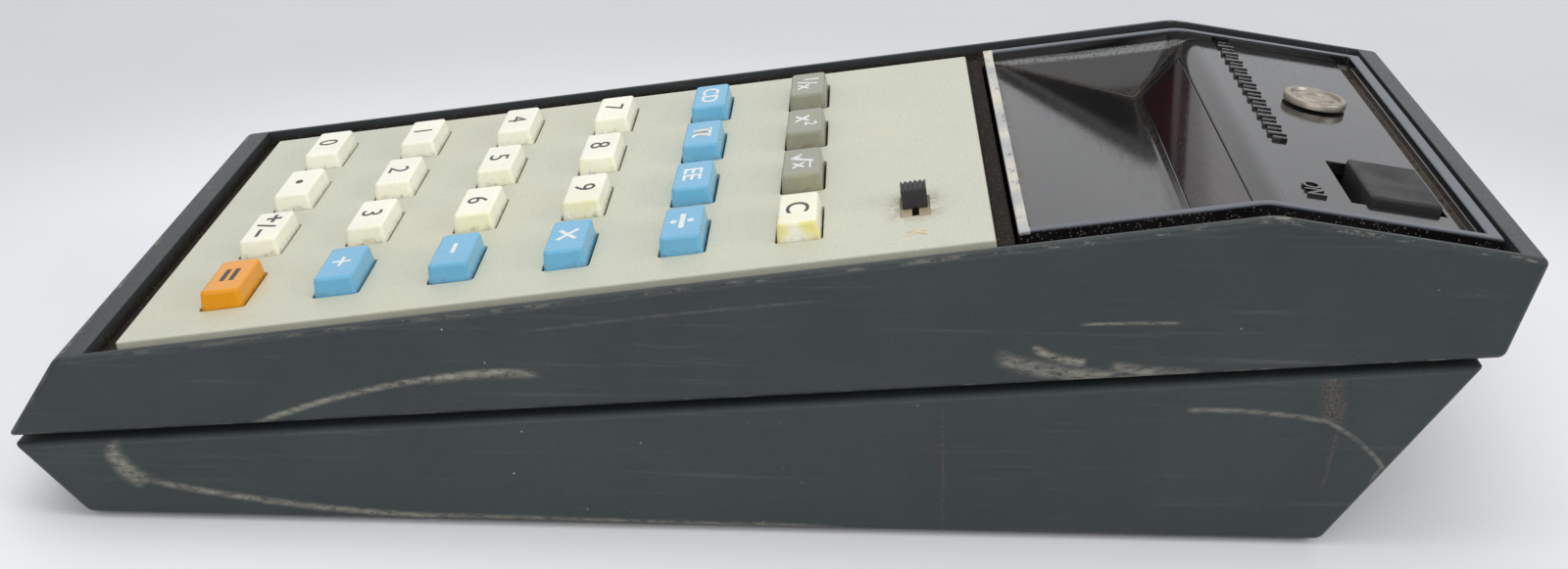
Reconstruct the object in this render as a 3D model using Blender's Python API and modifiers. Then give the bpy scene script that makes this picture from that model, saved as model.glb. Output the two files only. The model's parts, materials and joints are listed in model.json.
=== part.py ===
"""Pocket calculator of the early LED kind: a wedge-shaped two-part case, a cream key plate with
24 sprung keys, a hooded red display, two slide switches and the works inside.

Frame: metres, +Z up, +Y towards the display, +X to the user's right. The origin is at the centre
of the underside, on the surface the feet stand on. Two sloping planes carry everything on top:
the deck, which rises from the front edge to the ridge, and the roof, which falls away behind it.
"""

import math

import bmesh
import bpy
from mathutils import Matrix, Vector

MM = 0.001

# Overall size
WIDTH = 79.0 * MM
FRONT_Y = -80.0 * MM
FOOT_PROUD = 0.5 * MM

# Side outline of the case
TIP_Z = 9.3 * MM
DECK_START = Vector((-74.1 * MM, 18.4 * MM))
DECK_TILT = math.radians(8.3)
DECK_LENGTH = 127.3 * MM
ROOF_TILT = math.radians(8.3)
ROOF_LENGTH = 28.2 * MM
RIDGE_RADIUS = 9.0 * MM
UPPER_REAR_FOOT = Vector((76.5 * MM, 21.9 * MM))
LOWER_FRONT_TOP = Vector((-79.6 * MM, 8.5 * MM))
LOWER_FRONT_FOOT = Vector((-72.2 * MM, FOOT_PROUD))
LOWER_REAR_FOOT = Vector((59.8 * MM, FOOT_PROUD))
LOWER_REAR_TOP = Vector((74.7 * MM, 21.0 * MM))

# Case walls
WALL = 2.0 * MM
UPPER_REAR_WALL = 2.2 * MM
LOWER_STEP_IN = 0.15 * MM
LOWER_WALL = 3.5 * MM
LOWER_END_WALL = 4.0 * MM
FLOOR = 2.0 * MM
CASE_ROUNDING = 0.8 * MM
CUT_OVERRUN = 6.0 * MM

# The lip that stands up from the lower case inside the upper one
LIP_HEIGHT = 1.2 * MM
LIP_ROOT = 3.0 * MM
LIP_WALL = 1.4 * MM
LIP_HALF_WIDTH = 37.2 * MM
LIP_FRONT_Y = -75.7 * MM
LIP_REAR_Y = 72.9 * MM

# The sunken well in the deck and roof
WELL_DEPTH = 2.0 * MM
SIDE_RIM = 1.2 * MM
FRONT_RIM = 3.0 * MM
WELL_ROOF_END = 25.3 * MM
WELL_HEADROOM = 12.0 * MM
KEY_OPENING = Vector((62.4 * MM, 86.7 * MM, 12.0 * MM))
KEY_OPENING_S = 52.65 * MM
DISPLAY_OPENING_DEPTH = 9.0 * MM
GAP = 0.3 * MM

# Key plate
PLATE_HALF_WIDTH = 35.0 * MM
PLATE_START = 5.3 * MM
PLATE_END = 99.4 * MM
PLATE_TOP = -0.45 * MM
PLATE_BOTTOM = -WELL_DEPTH + GAP
PLATE_ROUNDING = 0.25 * MM

# Keys
COLUMN_PITCH = 15.9 * MM
FIRST_COLUMN = -24.3 * MM
ROW_PITCH = 12.7 * MM
FIRST_ROW = 15.2 * MM
KEY_WIDTH = 10.2 * MM
KEY_DEPTH = 4.9 * MM
KEY_HEIGHT = 2.0 * MM
KEY_TAPER = 0.3 * MM
KEY_ROUNDING = 0.45 * MM
KEY_SKIRT = 1.55 * MM
KEY_FLANGE = 0.7 * MM
KEY_FLANGE_THICKNESS = 0.8 * MM
KEY_CLEARANCE = 0.3 * MM

# Display bezel
BEZEL_HALF_WIDTH = 34.8 * MM
BEZEL_START = 101.7 * MM
BEZEL_ROOF_END = 24.6 * MM
BEZEL_RIM = 1.2 * MM
PANEL_DEPTH = 0.95 * MM
PANEL_THICKNESS = 1.5 * MM
HOPPER_LIP = 1.5 * MM
HOPPER_LIP_REAR = 2.3 * MM
VALLEY_S = 120.8 * MM
VALLEY_DEPTH = 7.7 * MM
VALLEY_HALF_WIDTH = 30.5 * MM
BEZEL_FRONT_DEPTH = 2.9 * MM
BROW_T = 1.2 * MM
LUG = Vector((2.0 * MM, 14.0 * MM, 0.9 * MM))
LUG_S = 114.0 * MM
LUG_DEPTH = 4.8 * MM
WINDOW_HALF_WIDTH = 29.2 * MM
WINDOW_FOOT_MARGIN = 1.1 * MM
WINDOW_HEAD_MARGIN = 1.9 * MM
FILTER_THICKNESS = 1.2 * MM
BADGE_RADIUS = 3.8 * MM
BADGE_TOP_RADIUS = 3.5 * MM
BADGE_THICKNESS = 0.9 * MM
BADGE_X = -10.0 * MM
BADGE_T = 13.8 * MM
BADGE_PROUD = 0.3 * MM

# Switches
CONSTANT_X = 20.3 * MM
CONSTANT_S = 91.3 * MM
CONSTANT_KNOB = Vector((3.0 * MM, 2.8 * MM, 1.9 * MM))
CONSTANT_TRAVEL = 3.0 * MM
CONSTANT_TRACK = 0.35 * MM
CONSTANT_STEM = 0.6 * MM
CONSTANT_SLIT = 0.9 * MM
CONSTANT_SLIDER = Vector((7.0 * MM, 3.6 * MM, 0.8 * MM))
CONSTANT_BODY = Vector((14.0 * MM, 4.6 * MM, 2.3 * MM))
POWER_X = 20.2 * MM
POWER_T = 16.5 * MM
POWER_KNOB = Vector((12.7 * MM, 7.8 * MM, 0.85 * MM))
POWER_FOOT = -3.0 * MM
POWER_BODY = Vector((16.0 * MM, 12.0 * MM, 4.0 * MM))
POWER_TRAVEL = 1.6 * MM
POWER_SLOT_X = 14.0 * MM
POWER_SLOT_START = 10.6 * MM
POWER_SLOT_END = 20.8 * MM

# Screws, the posts and bosses they join, and the feet
SCREW_X = 32.7 * MM
SCREW_YS = (-55.0 * MM, 23.0 * MM)
SCREW_HEAD_Z = 1.5 * MM
SCREW_HEAD_TOP_Z = 3.1 * MM
SCREW_HEAD_RADIUS = 2.1 * MM
SCREW_HEAD_EDGE = 0.4 * MM
SCREW_SHANK_RADIUS = 1.2 * MM
SCREW_LENGTH = 11.0 * MM
DRIVER_SLOT = Vector((5.0 * MM, 0.7 * MM, 1.2 * MM))
BOSS_RADIUS = 2.8 * MM
BOSS_FOOT_Z = 8.5 * MM
PILOT_RADIUS = 1.5 * MM
PILOT_DEPTH = 6.0 * MM
POST_RADIUS = 3.0 * MM
POST_FOOT_Z = 1.6 * MM
POST_TOP_Z = 8.2 * MM
HEAD_RECESS_RADIUS = 2.5 * MM
HEAD_RECESS_TOP_Z = 3.4 * MM
SHANK_HOLE_RADIUS = 1.55 * MM
FOOT_RADIUS = 4.5 * MM
FOOT_THICKNESS = 1.3 * MM
FOOT_X = 28.0 * MM
FOOT_YS = (-64.0 * MM, 48.0 * MM)

# Works inside
CELL_RADIUS = 7.1 * MM
CELL_LENGTH = 50.0 * MM
CELL_PITCH = 14.7 * MM
CELL_PIP_RADIUS = 2.6 * MM
CELL_PIP = 1.0 * MM
CELL_RECESS_RADIUS = 4.4 * MM
CELL_RECESS = 0.4 * MM
REAR_CELL_Y = 50.5 * MM
CELL_Z = 11.0 * MM
HOLDER_FOOT_Z = 2.8 * MM
HOLDER_KNEE_Z = 7.2 * MM
HOLDER_TOP_Z = 9.4 * MM
HOLDER_REAR_FOOT_Y = 55.2 * MM
HOLDER_REAR_Y = 58.8 * MM
LEAD_RADIUS = 0.6 * MM
LEAD_X = 22.0 * MM
LEAD_Y = 12.3 * MM
BOARD_HALF_WIDTH = 29.2 * MM
BOARD_THICKNESS = 1.6 * MM
MAIN_BOARD_Z = 6.0 * MM
MAIN_BOARD_FRONT_Y = -61.0 * MM
MAIN_BOARD_REAR_Y = 11.0 * MM
DISPLAY_BOARD = Vector((58.0 * MM, 8.6 * MM, 1.2 * MM))
LED_BAR = Vector((50.0 * MM, 5.0 * MM, 2.4 * MM))
JACK_X = -22.0 * MM
JACK_Z = 27.0 * MM
JACK_REAR_Y = 76.8 * MM
JACK_LENGTH = 7.4 * MM
JACK_RADIUS = 3.0 * MM
JACK_BORE_RADIUS = 1.3 * MM

# Rows from the front, columns from the left: key name and cap colour
KEYS = (
    (("0", "white"), ("point", "white"), ("sign", "white"), ("equals", "orange")),
    (("1", "white"), ("2", "white"), ("3", "white"), ("plus", "blue")),
    (("4", "white"), ("5", "white"), ("6", "white"), ("minus", "blue")),
    (("7", "white"), ("8", "white"), ("9", "white"), ("multiply", "blue")),
    (("clear_entry", "blue"), ("pi", "blue"), ("exponent", "blue"), ("divide", "blue")),
    (("reciprocal", "grey"), ("square", "grey"), ("root", "grey"), ("clear", "white")),
)

# Material name: linear colour, roughness, metallic
MATERIALS = {
    "case_grey": ((0.055, 0.068, 0.070), 0.38, 0.0),
    "plate_cream": ((0.64, 0.65, 0.54), 0.50, 0.0),
    "bezel_black": ((0.012, 0.012, 0.013), 0.12, 0.0),
    "filter_red": ((0.10, 0.008, 0.012), 0.06, 0.0),
    "badge_metal": ((0.55, 0.53, 0.50), 0.32, 1.0),
    "key_white": ((0.78, 0.77, 0.62), 0.40, 0.0),
    "key_blue": ((0.20, 0.48, 0.66), 0.42, 0.0),
    "key_grey": ((0.34, 0.34, 0.29), 0.45, 0.0),
    "key_orange": ((0.80, 0.33, 0.02), 0.40, 0.0),
    "switch_black": ((0.018, 0.018, 0.020), 0.55, 0.0),
    "foot_rubber": ((0.02, 0.02, 0.02), 0.85, 0.0),
    "board_green": ((0.03, 0.12, 0.05), 0.55, 0.0),
    "sheet_clear": ((0.45, 0.44, 0.38), 0.50, 0.0),
    "chip_black": ((0.02, 0.02, 0.02), 0.50, 0.0),
    "led_lens": ((0.25, 0.02, 0.02), 0.15, 0.0),
    "cell_wrap": ((0.55, 0.50, 0.10), 0.45, 0.0),
    "holder_white": ((0.60, 0.60, 0.56), 0.60, 0.0),
    "jack_black": ((0.02, 0.02, 0.02), 0.40, 0.0),
    "screw_steel": ((0.50, 0.50, 0.50), 0.35, 1.0),
    "lead_red": ((0.55, 0.02, 0.02), 0.50, 0.0),
    "lead_black": ((0.02, 0.02, 0.02), 0.50, 0.0),
    "ribbon_amber": ((0.45, 0.25, 0.06), 0.45, 0.0),
}


def deck(s, n):
    """(y, z) of the point s along the deck from its front edge and n above it."""
    along = Vector((math.cos(DECK_TILT), math.sin(DECK_TILT)))
    up = Vector((-along.y, along.x))
    return DECK_START + along * s + up * n


RIDGE = deck(DECK_LENGTH, 0.0)


def roof(t, n):
    """(y, z) of the point t along the roof behind the ridge and n above it."""
    along = Vector((math.cos(ROOF_TILT), -math.sin(ROOF_TILT)))
    up = Vector((-along.y, along.x))
    return RIDGE + along * t + up * n


def ridge_arc(depth, steps=4):
    """Points of the rounded ridge, from the roof side to the deck side, lowered by depth."""
    turn = DECK_TILT + ROOF_TILT
    tangent = RIDGE_RADIUS * math.tan(turn / 2)
    start = roof(tangent, 0.0)
    centre = start - (roof(0.0, 1.0) - roof(0.0, 0.0)) * RIDGE_RADIUS
    points = []
    for step in range(steps + 1):
        angle = math.pi / 2 - ROOF_TILT + turn * step / steps
        points.append(centre + Vector((math.cos(angle), math.sin(angle))) * (RIDGE_RADIUS - depth))
    return points


def deck_frame(x, s, n):
    """Matrix whose local +Y runs up the deck and whose local +Z is the deck's normal."""
    y, z = deck(s, n)
    return Matrix.Translation((x, y, z)) @ Matrix.Rotation(DECK_TILT, 4, "X")


def roof_frame(x, t, n):
    """Matrix whose local +Y runs down the roof and whose local +Z is the roof's normal."""
    y, z = roof(t, n)
    return Matrix.Translation((x, y, z)) @ Matrix.Rotation(-ROOF_TILT, 4, "X")


def inset(corners, depths):
    """Offsets a counter-clockwise convex outline inwards, each side by its own depth."""
    lines = []
    for index, corner in enumerate(corners):
        side = (corners[(index + 1) % len(corners)] - corner).normalized()
        inward = Vector((-side.y, side.x))
        lines.append((corner + inward * depths[index], side))
    moved = []
    for index, (point, side) in enumerate(lines):
        before, before_side = lines[index - 1]
        cross = before_side.x * side.y - before_side.y * side.x
        reach = ((point.x - before.x) * side.y - (point.y - before.y) * side.x) / cross
        moved.append(before + before_side * reach)
    return moved


# ---------------------------------------------------------------- scene and helpers

for old in list(bpy.data.objects):
    bpy.data.objects.remove(old, do_unlink=True)

parts = bpy.data.collections.new("pocket_calculator")
cutters = bpy.data.collections.new("cutters")
bpy.context.scene.collection.children.link(parts)
bpy.context.scene.collection.children.link(cutters)
cutters.hide_render = True


def make_materials():
    made = {}
    for name, (colour, roughness, metallic) in MATERIALS.items():
        material = bpy.data.materials.new(name)
        material.use_nodes = True
        shader = material.node_tree.nodes["Principled BSDF"]
        shader.inputs["Base Color"].default_value = (*colour, 1.0)
        shader.inputs["Roughness"].default_value = roughness
        shader.inputs["Metallic"].default_value = metallic
        material.diffuse_color = (*colour, 1.0)
        made[name] = material
    return made


materials = make_materials()


def add(name, mesh, material=None, frame=None):
    """Adds the mesh as a part with its own material, or as a cutter where it has none."""
    obj = bpy.data.objects.new(name, mesh)
    if material is None:
        cutters.objects.link(obj)
        obj.hide_render = True
        obj.display_type = "WIRE"
    else:
        parts.objects.link(obj)
        if not mesh.materials:
            mesh.materials.append(None)
        obj.material_slots[0].link = "OBJECT"
        obj.material_slots[0].material = materials[material]
    if frame is not None:
        obj.matrix_world = frame
    return obj


def mesh_from(shape, name):
    bmesh.ops.recalc_face_normals(shape, faces=shape.faces)
    mesh = bpy.data.meshes.new(name)
    shape.to_mesh(mesh)
    shape.free()
    return mesh


def box_mesh(name, size, centre=(0.0, 0.0, 0.0)):
    shape = bmesh.new()
    bmesh.ops.create_cube(shape, size=1.0)
    bmesh.ops.scale(shape, vec=size, verts=shape.verts)
    bmesh.ops.translate(shape, vec=centre, verts=shape.verts)
    return mesh_from(shape, name)


def disc_mesh(name, radius, depth, segments=24, top_radius=None):
    """A cylinder or cone along Z with its base at z = 0."""
    shape = bmesh.new()
    top = radius if top_radius is None else top_radius
    bmesh.ops.create_cone(
        shape, cap_ends=True, segments=segments, radius1=radius, radius2=top, depth=depth
    )
    bmesh.ops.translate(shape, vec=(0.0, 0.0, depth / 2), verts=shape.verts)
    return mesh_from(shape, name)


def prism_mesh(name, outline, half_width, centre_x=0.0):
    """A solid with the (y, z) outline as its side view, half_width to each side of centre_x."""
    curve = bpy.data.curves.new(name, "CURVE")
    curve.dimensions = "2D"
    curve.fill_mode = "BOTH"
    curve.extrude = half_width
    spline = curve.splines.new("POLY")
    spline.points.add(len(outline) - 1)
    for point, (y, z) in zip(spline.points, outline):
        point.co = (y, z, 0.0, 1.0)
    spline.use_cyclic_u = True
    guide = bpy.data.objects.new(name, curve)
    cutters.objects.link(guide)
    bpy.context.view_layer.update()
    graph = bpy.context.evaluated_depsgraph_get()
    mesh = bpy.data.meshes.new_from_object(guide.evaluated_get(graph))
    bpy.data.objects.remove(guide)
    # The curve lies in local XY, which stands for world YZ.
    mesh.transform(Matrix(((0, 0, 1, centre_x), (1, 0, 0, 0), (0, 1, 0, 0), (0, 0, 0, 1))))
    shape = bmesh.new()
    shape.from_mesh(mesh)
    bmesh.ops.remove_doubles(shape, verts=shape.verts, dist=0.001 * MM)
    bmesh.ops.dissolve_limit(
        shape, angle_limit=math.radians(0.2), verts=shape.verts, edges=shape.edges
    )
    bpy.data.meshes.remove(mesh)
    return mesh_from(shape, name)


def boolean(obj, other, operation="DIFFERENCE"):
    modifier = obj.modifiers.new(other.name, "BOOLEAN")
    modifier.operation = operation
    modifier.object = other
    modifier.solver = "EXACT"
    return modifier


def round_edges(obj, width, segments=2, angle=30.0):
    modifier = obj.modifiers.new("rounding", "BEVEL")
    modifier.width = width
    modifier.segments = segments
    modifier.limit_method = "ANGLE"
    modifier.angle_limit = math.radians(angle)
    return modifier


def profile_mesh(name, points, closed=False):
    """An edge-only mesh of the (radius, z) points, given from the top down, for turning."""
    shape = bmesh.new()
    verts = [shape.verts.new((radius, 0.0, z)) for radius, z in points]
    followers = [*verts[1:], verts[0]] if closed else verts[1:]
    for first, second in zip(verts, followers):
        shape.edges.new((first, second))
    mesh = bpy.data.meshes.new(name)
    shape.to_mesh(mesh)
    shape.free()
    return mesh


def turn(obj, steps):
    """Turns the profile about local Z into a solid."""
    spin = obj.modifiers.new("turned", "SCREW")
    spin.axis = "Z"
    spin.steps = steps
    spin.render_steps = steps
    spin.use_merge_vertices = True
    spin.merge_threshold = 0.00001


def joined_mesh(name, pieces):
    """One mesh of several separate shapes, each given as (mesh, matrix)."""
    shape = bmesh.new()
    for mesh, frame in pieces:
        copy = mesh.copy()
        copy.transform(frame)
        shape.from_mesh(copy)
        bpy.data.meshes.remove(copy)
    joined = bpy.data.meshes.new(name)
    shape.to_mesh(joined)
    shape.free()
    return joined


# ---------------------------------------------------------------- case

UPPER_CORNERS = [
    Vector((FRONT_Y, TIP_Z)),
    UPPER_REAR_FOOT,
    roof(ROOF_LENGTH, 0.0),
    RIDGE,
    deck(0.0, 0.0),
]
LOWER_CORNERS = [LOWER_FRONT_TOP, LOWER_FRONT_FOOT, LOWER_REAR_FOOT, LOWER_REAR_TOP]


def parting_z(y):
    """Height of the upper case's lower edge at y."""
    tip, rear = UPPER_CORNERS[0], UPPER_CORNERS[1]
    return tip.y + (rear.y - tip.y) * (y - tip.x) / (rear.x - tip.x)


def well_outline(depth, front, end):
    """Side view of what is cut from the deck and roof to this depth, open above."""
    floor = [deck(front, -depth), *reversed(ridge_arc(depth)), roof(end, -depth)]
    return [*floor, roof(end, WELL_HEADROOM), deck(front, WELL_HEADROOM)]


def screw_places():
    return [(side * SCREW_X, y) for y in SCREW_YS for side in (-1, 1)]


def make_upper_case():
    outline = [*UPPER_CORNERS[:3], *ridge_arc(0.0), UPPER_CORNERS[4]]
    case = add("upper_case", prism_mesh("upper_case", outline, WIDTH / 2), "case_grey")
    round_edges(case, CASE_ROUNDING)

    # The deck and roof are as thick as the well is deep, and a wall more.
    top = WELL_DEPTH + WALL
    cavity = inset(UPPER_CORNERS, [-CUT_OVERRUN, UPPER_REAR_WALL, top, top, WALL])
    boolean(case, add("upper_cavity", prism_mesh("upper_cavity", cavity, WIDTH / 2 - WALL)))

    # Screw bosses hang from the deck, over the lower case's posts.
    boss = disc_mesh("boss", BOSS_RADIUS, 1.0, segments=16)
    pilot = disc_mesh("pilot", PILOT_RADIUS, PILOT_DEPTH + 1.0 * MM, segments=16)
    bosses, pilots = [], []
    for x, y in screw_places():
        s = (y - DECK_START.x) / math.cos(DECK_TILT)
        height = deck(s, -top + 0.5 * MM).y - BOSS_FOOT_Z
        foot = Matrix.Translation((x, y, BOSS_FOOT_Z))
        bosses.append((boss, foot @ Matrix.Diagonal((1.0, 1.0, height, 1.0))))
        pilots.append((pilot, foot @ Matrix.Translation((0.0, 0.0, -1.0 * MM))))
    boolean(case, add("upper_bosses", joined_mesh("upper_bosses", bosses)), "UNION")
    boolean(case, add("upper_pilots", joined_mesh("upper_pilots", pilots)))

    outline = well_outline(WELL_DEPTH, FRONT_RIM, WELL_ROOF_END)
    boolean(case, add("well", prism_mesh("well", outline, WIDTH / 2 - SIDE_RIM)))
    keys = box_mesh("key_opening", KEY_OPENING)
    boolean(case, add("key_opening", keys, frame=deck_frame(0.0, KEY_OPENING_S, -5.0 * MM)))
    outline = well_outline(DISPLAY_OPENING_DEPTH, BEZEL_START - GAP, BEZEL_ROOF_END + GAP)
    opening = prism_mesh("display_opening", outline, BEZEL_HALF_WIDTH + GAP)
    boolean(case, add("display_opening", opening))
    jack = disc_mesh("jack_hole", JACK_RADIUS + GAP, 12.0 * MM)
    boolean(case, add("jack_hole", jack, frame=jack_frame(84.0 * MM)))


def make_lower_case():
    outer = prism_mesh("lower_case", LOWER_CORNERS, WIDTH / 2 - LOWER_STEP_IN)
    case = add("lower_case", outer, "case_grey")
    round_edges(case, CASE_ROUNDING)

    lip = [
        Vector((LIP_FRONT_Y, parting_z(LIP_FRONT_Y) - LIP_ROOT)),
        Vector((LIP_REAR_Y, parting_z(LIP_REAR_Y) - LIP_ROOT)),
        Vector((LIP_REAR_Y, parting_z(LIP_REAR_Y) + LIP_HEIGHT)),
        Vector((LIP_FRONT_Y, parting_z(LIP_FRONT_Y) + LIP_HEIGHT)),
    ]
    boolean(case, add("lower_lip", prism_mesh("lower_lip", lip, LIP_HALF_WIDTH)), "UNION")
    inner_half = WIDTH / 2 - LOWER_WALL
    cavity = inset(LOWER_CORNERS, [LOWER_END_WALL, FLOOR, LOWER_END_WALL, 0.0])
    boolean(case, add("lower_cavity", prism_mesh("lower_cavity", cavity, inner_half)))
    lip_cavity = inset(lip, [-1.0 * MM, LIP_WALL, -LIP_ROOT, LIP_WALL])
    boolean(case, add("lip_cavity", prism_mesh("lip_cavity", lip_cavity, inner_half)))

    # Each post has a recess for the screw's head below and a hole for its shank above.
    post = disc_mesh("post", POST_RADIUS, POST_TOP_Z - POST_FOOT_Z, segments=16)
    head = disc_mesh("head", HEAD_RECESS_RADIUS, HEAD_RECESS_TOP_Z + 1.0 * MM, segments=20)
    hole = disc_mesh("hole", SHANK_HOLE_RADIUS, POST_TOP_Z + 2.0 * MM, segments=16)
    posts, heads, holes = [], [], []
    for x, y in screw_places():
        posts.append((post, Matrix.Translation((x, y, POST_FOOT_Z))))
        heads.append((head, Matrix.Translation((x, y, -1.0 * MM))))
        holes.append((hole, Matrix.Translation((x, y, -1.0 * MM))))
    boolean(case, add("lower_posts", joined_mesh("lower_posts", posts)), "UNION")
    boolean(case, add("screw_heads_cut", joined_mesh("screw_heads_cut", heads)))
    boolean(case, add("screw_holes_cut", joined_mesh("screw_holes_cut", holes)))
    pocket = disc_mesh("foot_pocket", FOOT_RADIUS + GAP, FOOT_THICKNESS + GAP, segments=28)
    pockets = [(pocket, Matrix.Translation((x, y, 0.0))) for x, y in foot_places()]
    boolean(case, add("foot_pockets", joined_mesh("foot_pockets", pockets)))


def foot_places():
    return [(side * FOOT_X, y) for y in FOOT_YS for side in (-1, 1)]


def make_feet():
    mesh = disc_mesh("foot", FOOT_RADIUS, FOOT_THICKNESS, segments=28)
    for number, (x, y) in enumerate(foot_places(), 1):
        add(f"foot_{number}", mesh, "foot_rubber", Matrix.Translation((x, y, 0.0)))


def make_screws():
    """Pan-head screws, head down in the lower case, each with a driver slot."""
    tip = SCREW_HEAD_TOP_Z + SCREW_LENGTH
    mesh = profile_mesh("screw", [
        (0.0, tip),
        (0.6 * SCREW_SHANK_RADIUS, tip - 0.4 * MM),
        (SCREW_SHANK_RADIUS, tip - 1.3 * MM),
        (SCREW_SHANK_RADIUS, SCREW_HEAD_TOP_Z),
        (SCREW_HEAD_RADIUS, SCREW_HEAD_TOP_Z),
        (SCREW_HEAD_RADIUS, SCREW_HEAD_Z + SCREW_HEAD_EDGE),
        (SCREW_HEAD_RADIUS - SCREW_HEAD_EDGE, SCREW_HEAD_Z),
        (0.0, SCREW_HEAD_Z),
    ])
    slot = box_mesh("driver_slot", DRIVER_SLOT)
    for number, (x, y) in enumerate(screw_places(), 1):
        screw = add(f"case_screw_{number}", mesh, "screw_steel", Matrix.Translation((x, y, 0.0)))
        turn(screw, steps=16)
        place = Matrix.Translation((x, y, SCREW_HEAD_Z - 0.1 * MM))
        boolean(screw, add(f"driver_slot_{number}", slot, frame=place))


# ---------------------------------------------------------------- key plate, keys and switches

def key_place(row, column):
    """(x, s) of a key's centre on the deck."""
    return FIRST_COLUMN + column * COLUMN_PITCH, FIRST_ROW + row * ROW_PITCH


def make_key_plate():
    length = PLATE_END - PLATE_START
    thickness = PLATE_TOP - PLATE_BOTTOM
    middle = (PLATE_START + PLATE_END) / 2
    size = (2 * PLATE_HALF_WIDTH, length, thickness)
    slab = box_mesh("key_plate", size, (0.0, 0.0, -thickness / 2))
    plate = add("key_plate", slab, "plate_cream", deck_frame(0.0, middle, PLATE_TOP))
    round_edges(plate, PLATE_ROUNDING, segments=1)

    hole_size = (KEY_WIDTH + 2 * KEY_CLEARANCE, KEY_DEPTH + 2 * KEY_CLEARANCE, CUT_OVERRUN)
    hole = box_mesh("key_hole", hole_size)
    holes = []
    for row in range(len(KEYS)):
        for column in range(len(KEYS[row])):
            x, s = key_place(row, column)
            holes.append((hole, deck_frame(x, s, PLATE_TOP)))
    boolean(plate, add("key_holes", joined_mesh("key_holes", holes)))

    slit_size = (CONSTANT_TRAVEL + CONSTANT_STEM + 0.5 * MM, CONSTANT_SLIT, CUT_OVERRUN)
    slit = box_mesh("constant_slit", slit_size)
    middle = deck_frame(CONSTANT_X + CONSTANT_TRAVEL / 2, CONSTANT_S, PLATE_TOP)
    boolean(plate, add("constant_slit", slit, frame=middle))
    track_length = CONSTANT_KNOB.x + CONSTANT_TRAVEL + 2 * GAP
    track_size = (track_length, CONSTANT_KNOB.y + 0.4 * MM, 2 * CONSTANT_TRACK)
    track = box_mesh("constant_track", track_size)
    boolean(plate, add("constant_track", track, frame=middle))


def key_mesh():
    """Tapered cap with rounded top edges, a straight skirt and a retaining flange."""
    shape = bmesh.new()
    made = bmesh.ops.create_cube(shape, size=1.0)
    for vert in made["verts"]:
        top = vert.co.z > 0
        spare = KEY_TAPER if top else 0.0
        vert.co.x = math.copysign(KEY_WIDTH / 2 - spare, vert.co.x)
        vert.co.y = math.copysign(KEY_DEPTH / 2 - spare, vert.co.y)
        vert.co.z = KEY_HEIGHT if top else 0.0
    caps = [edge for edge in shape.edges if max(vert.co.z for vert in edge.verts) > 0]
    bmesh.ops.bevel(
        shape, geom=caps, offset=KEY_ROUNDING, segments=2, profile=0.5, affect="EDGES"
    )

    def lowest_face():
        return min(shape.faces, key=lambda face: face.calc_center_median().z)

    def step(drop, grow):
        floor = lowest_face()
        made = bmesh.ops.extrude_face_region(shape, geom=[floor])
        verts = [item for item in made["geom"] if isinstance(item, bmesh.types.BMVert)]
        for vert in verts:
            vert.co.z -= drop
            vert.co.x += math.copysign(grow, vert.co.x)
            vert.co.y += math.copysign(grow, vert.co.y)
        if floor.is_valid:
            bmesh.ops.delete(shape, geom=[floor], context="FACES_ONLY")

    step(KEY_SKIRT, 0.0)
    step(0.0, KEY_FLANGE)
    step(KEY_FLANGE_THICKNESS, 0.0)
    return mesh_from(shape, "key")


def make_keys():
    mesh = key_mesh()
    for row, names in enumerate(KEYS):
        for column, (name, colour) in enumerate(names):
            x, s = key_place(row, column)
            add(f"key_{name}", mesh, f"key_{colour}", deck_frame(x, s, PLATE_TOP))


def make_constant_switch():
    frame = deck_frame(CONSTANT_X, CONSTANT_S, PLATE_TOP)
    floor = -CONSTANT_TRACK + 0.1 * MM
    size = (CONSTANT_KNOB.x, CONSTANT_KNOB.y, CONSTANT_KNOB.z - floor)
    cap = box_mesh("constant_switch_knob", size, (0.0, 0.0, (CONSTANT_KNOB.z + floor) / 2))
    knob = add("constant_switch_knob", cap, "switch_black", frame)
    round_edges(knob, 0.15 * MM, segments=1)
    # A stem through the slit joins the knob to the slider under the plate.
    slider_top = PLATE_BOTTOM - PLATE_TOP - GAP
    slider_middle = slider_top - CONSTANT_SLIDER.z / 2
    stem_top = floor + 0.5 * MM
    stem_size = (CONSTANT_STEM, CONSTANT_STEM, stem_top - slider_middle)
    stem = box_mesh("stem", stem_size, (0.0, 0.0, (stem_top + slider_middle) / 2))
    slider = box_mesh("slider", CONSTANT_SLIDER, (0.0, 0.0, slider_middle))
    boolean(knob, add("constant_stem", stem, frame=frame), "UNION")
    boolean(knob, add("constant_slider", slider, frame=frame), "UNION")

    body_middle = slider_top - CONSTANT_SLIDER.z - GAP - CONSTANT_BODY.z / 2
    body_mesh = box_mesh("constant_switch_body", CONSTANT_BODY, (0.0, 0.0, body_middle))
    place = deck_frame(CONSTANT_X + CONSTANT_TRAVEL / 2, CONSTANT_S, PLATE_TOP)
    body = add("constant_switch_body", body_mesh, "switch_black", place)
    round_edges(body, 0.2 * MM, segments=1)


# ---------------------------------------------------------------- display bezel and power switch

VALLEY = deck(VALLEY_S, -VALLEY_DEPTH)
BROW = roof(BROW_T, -PANEL_DEPTH)
HOPPER_REAR_LIP = deck(DECK_LENGTH - 1.7 * MM, -HOPPER_LIP_REAR)
WINDOW_HEIGHT = (BROW - VALLEY).length - WINDOW_FOOT_MARGIN - WINDOW_HEAD_MARGIN
WINDOW_MIDDLE = WINDOW_FOOT_MARGIN + WINDOW_HEIGHT / 2


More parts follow.
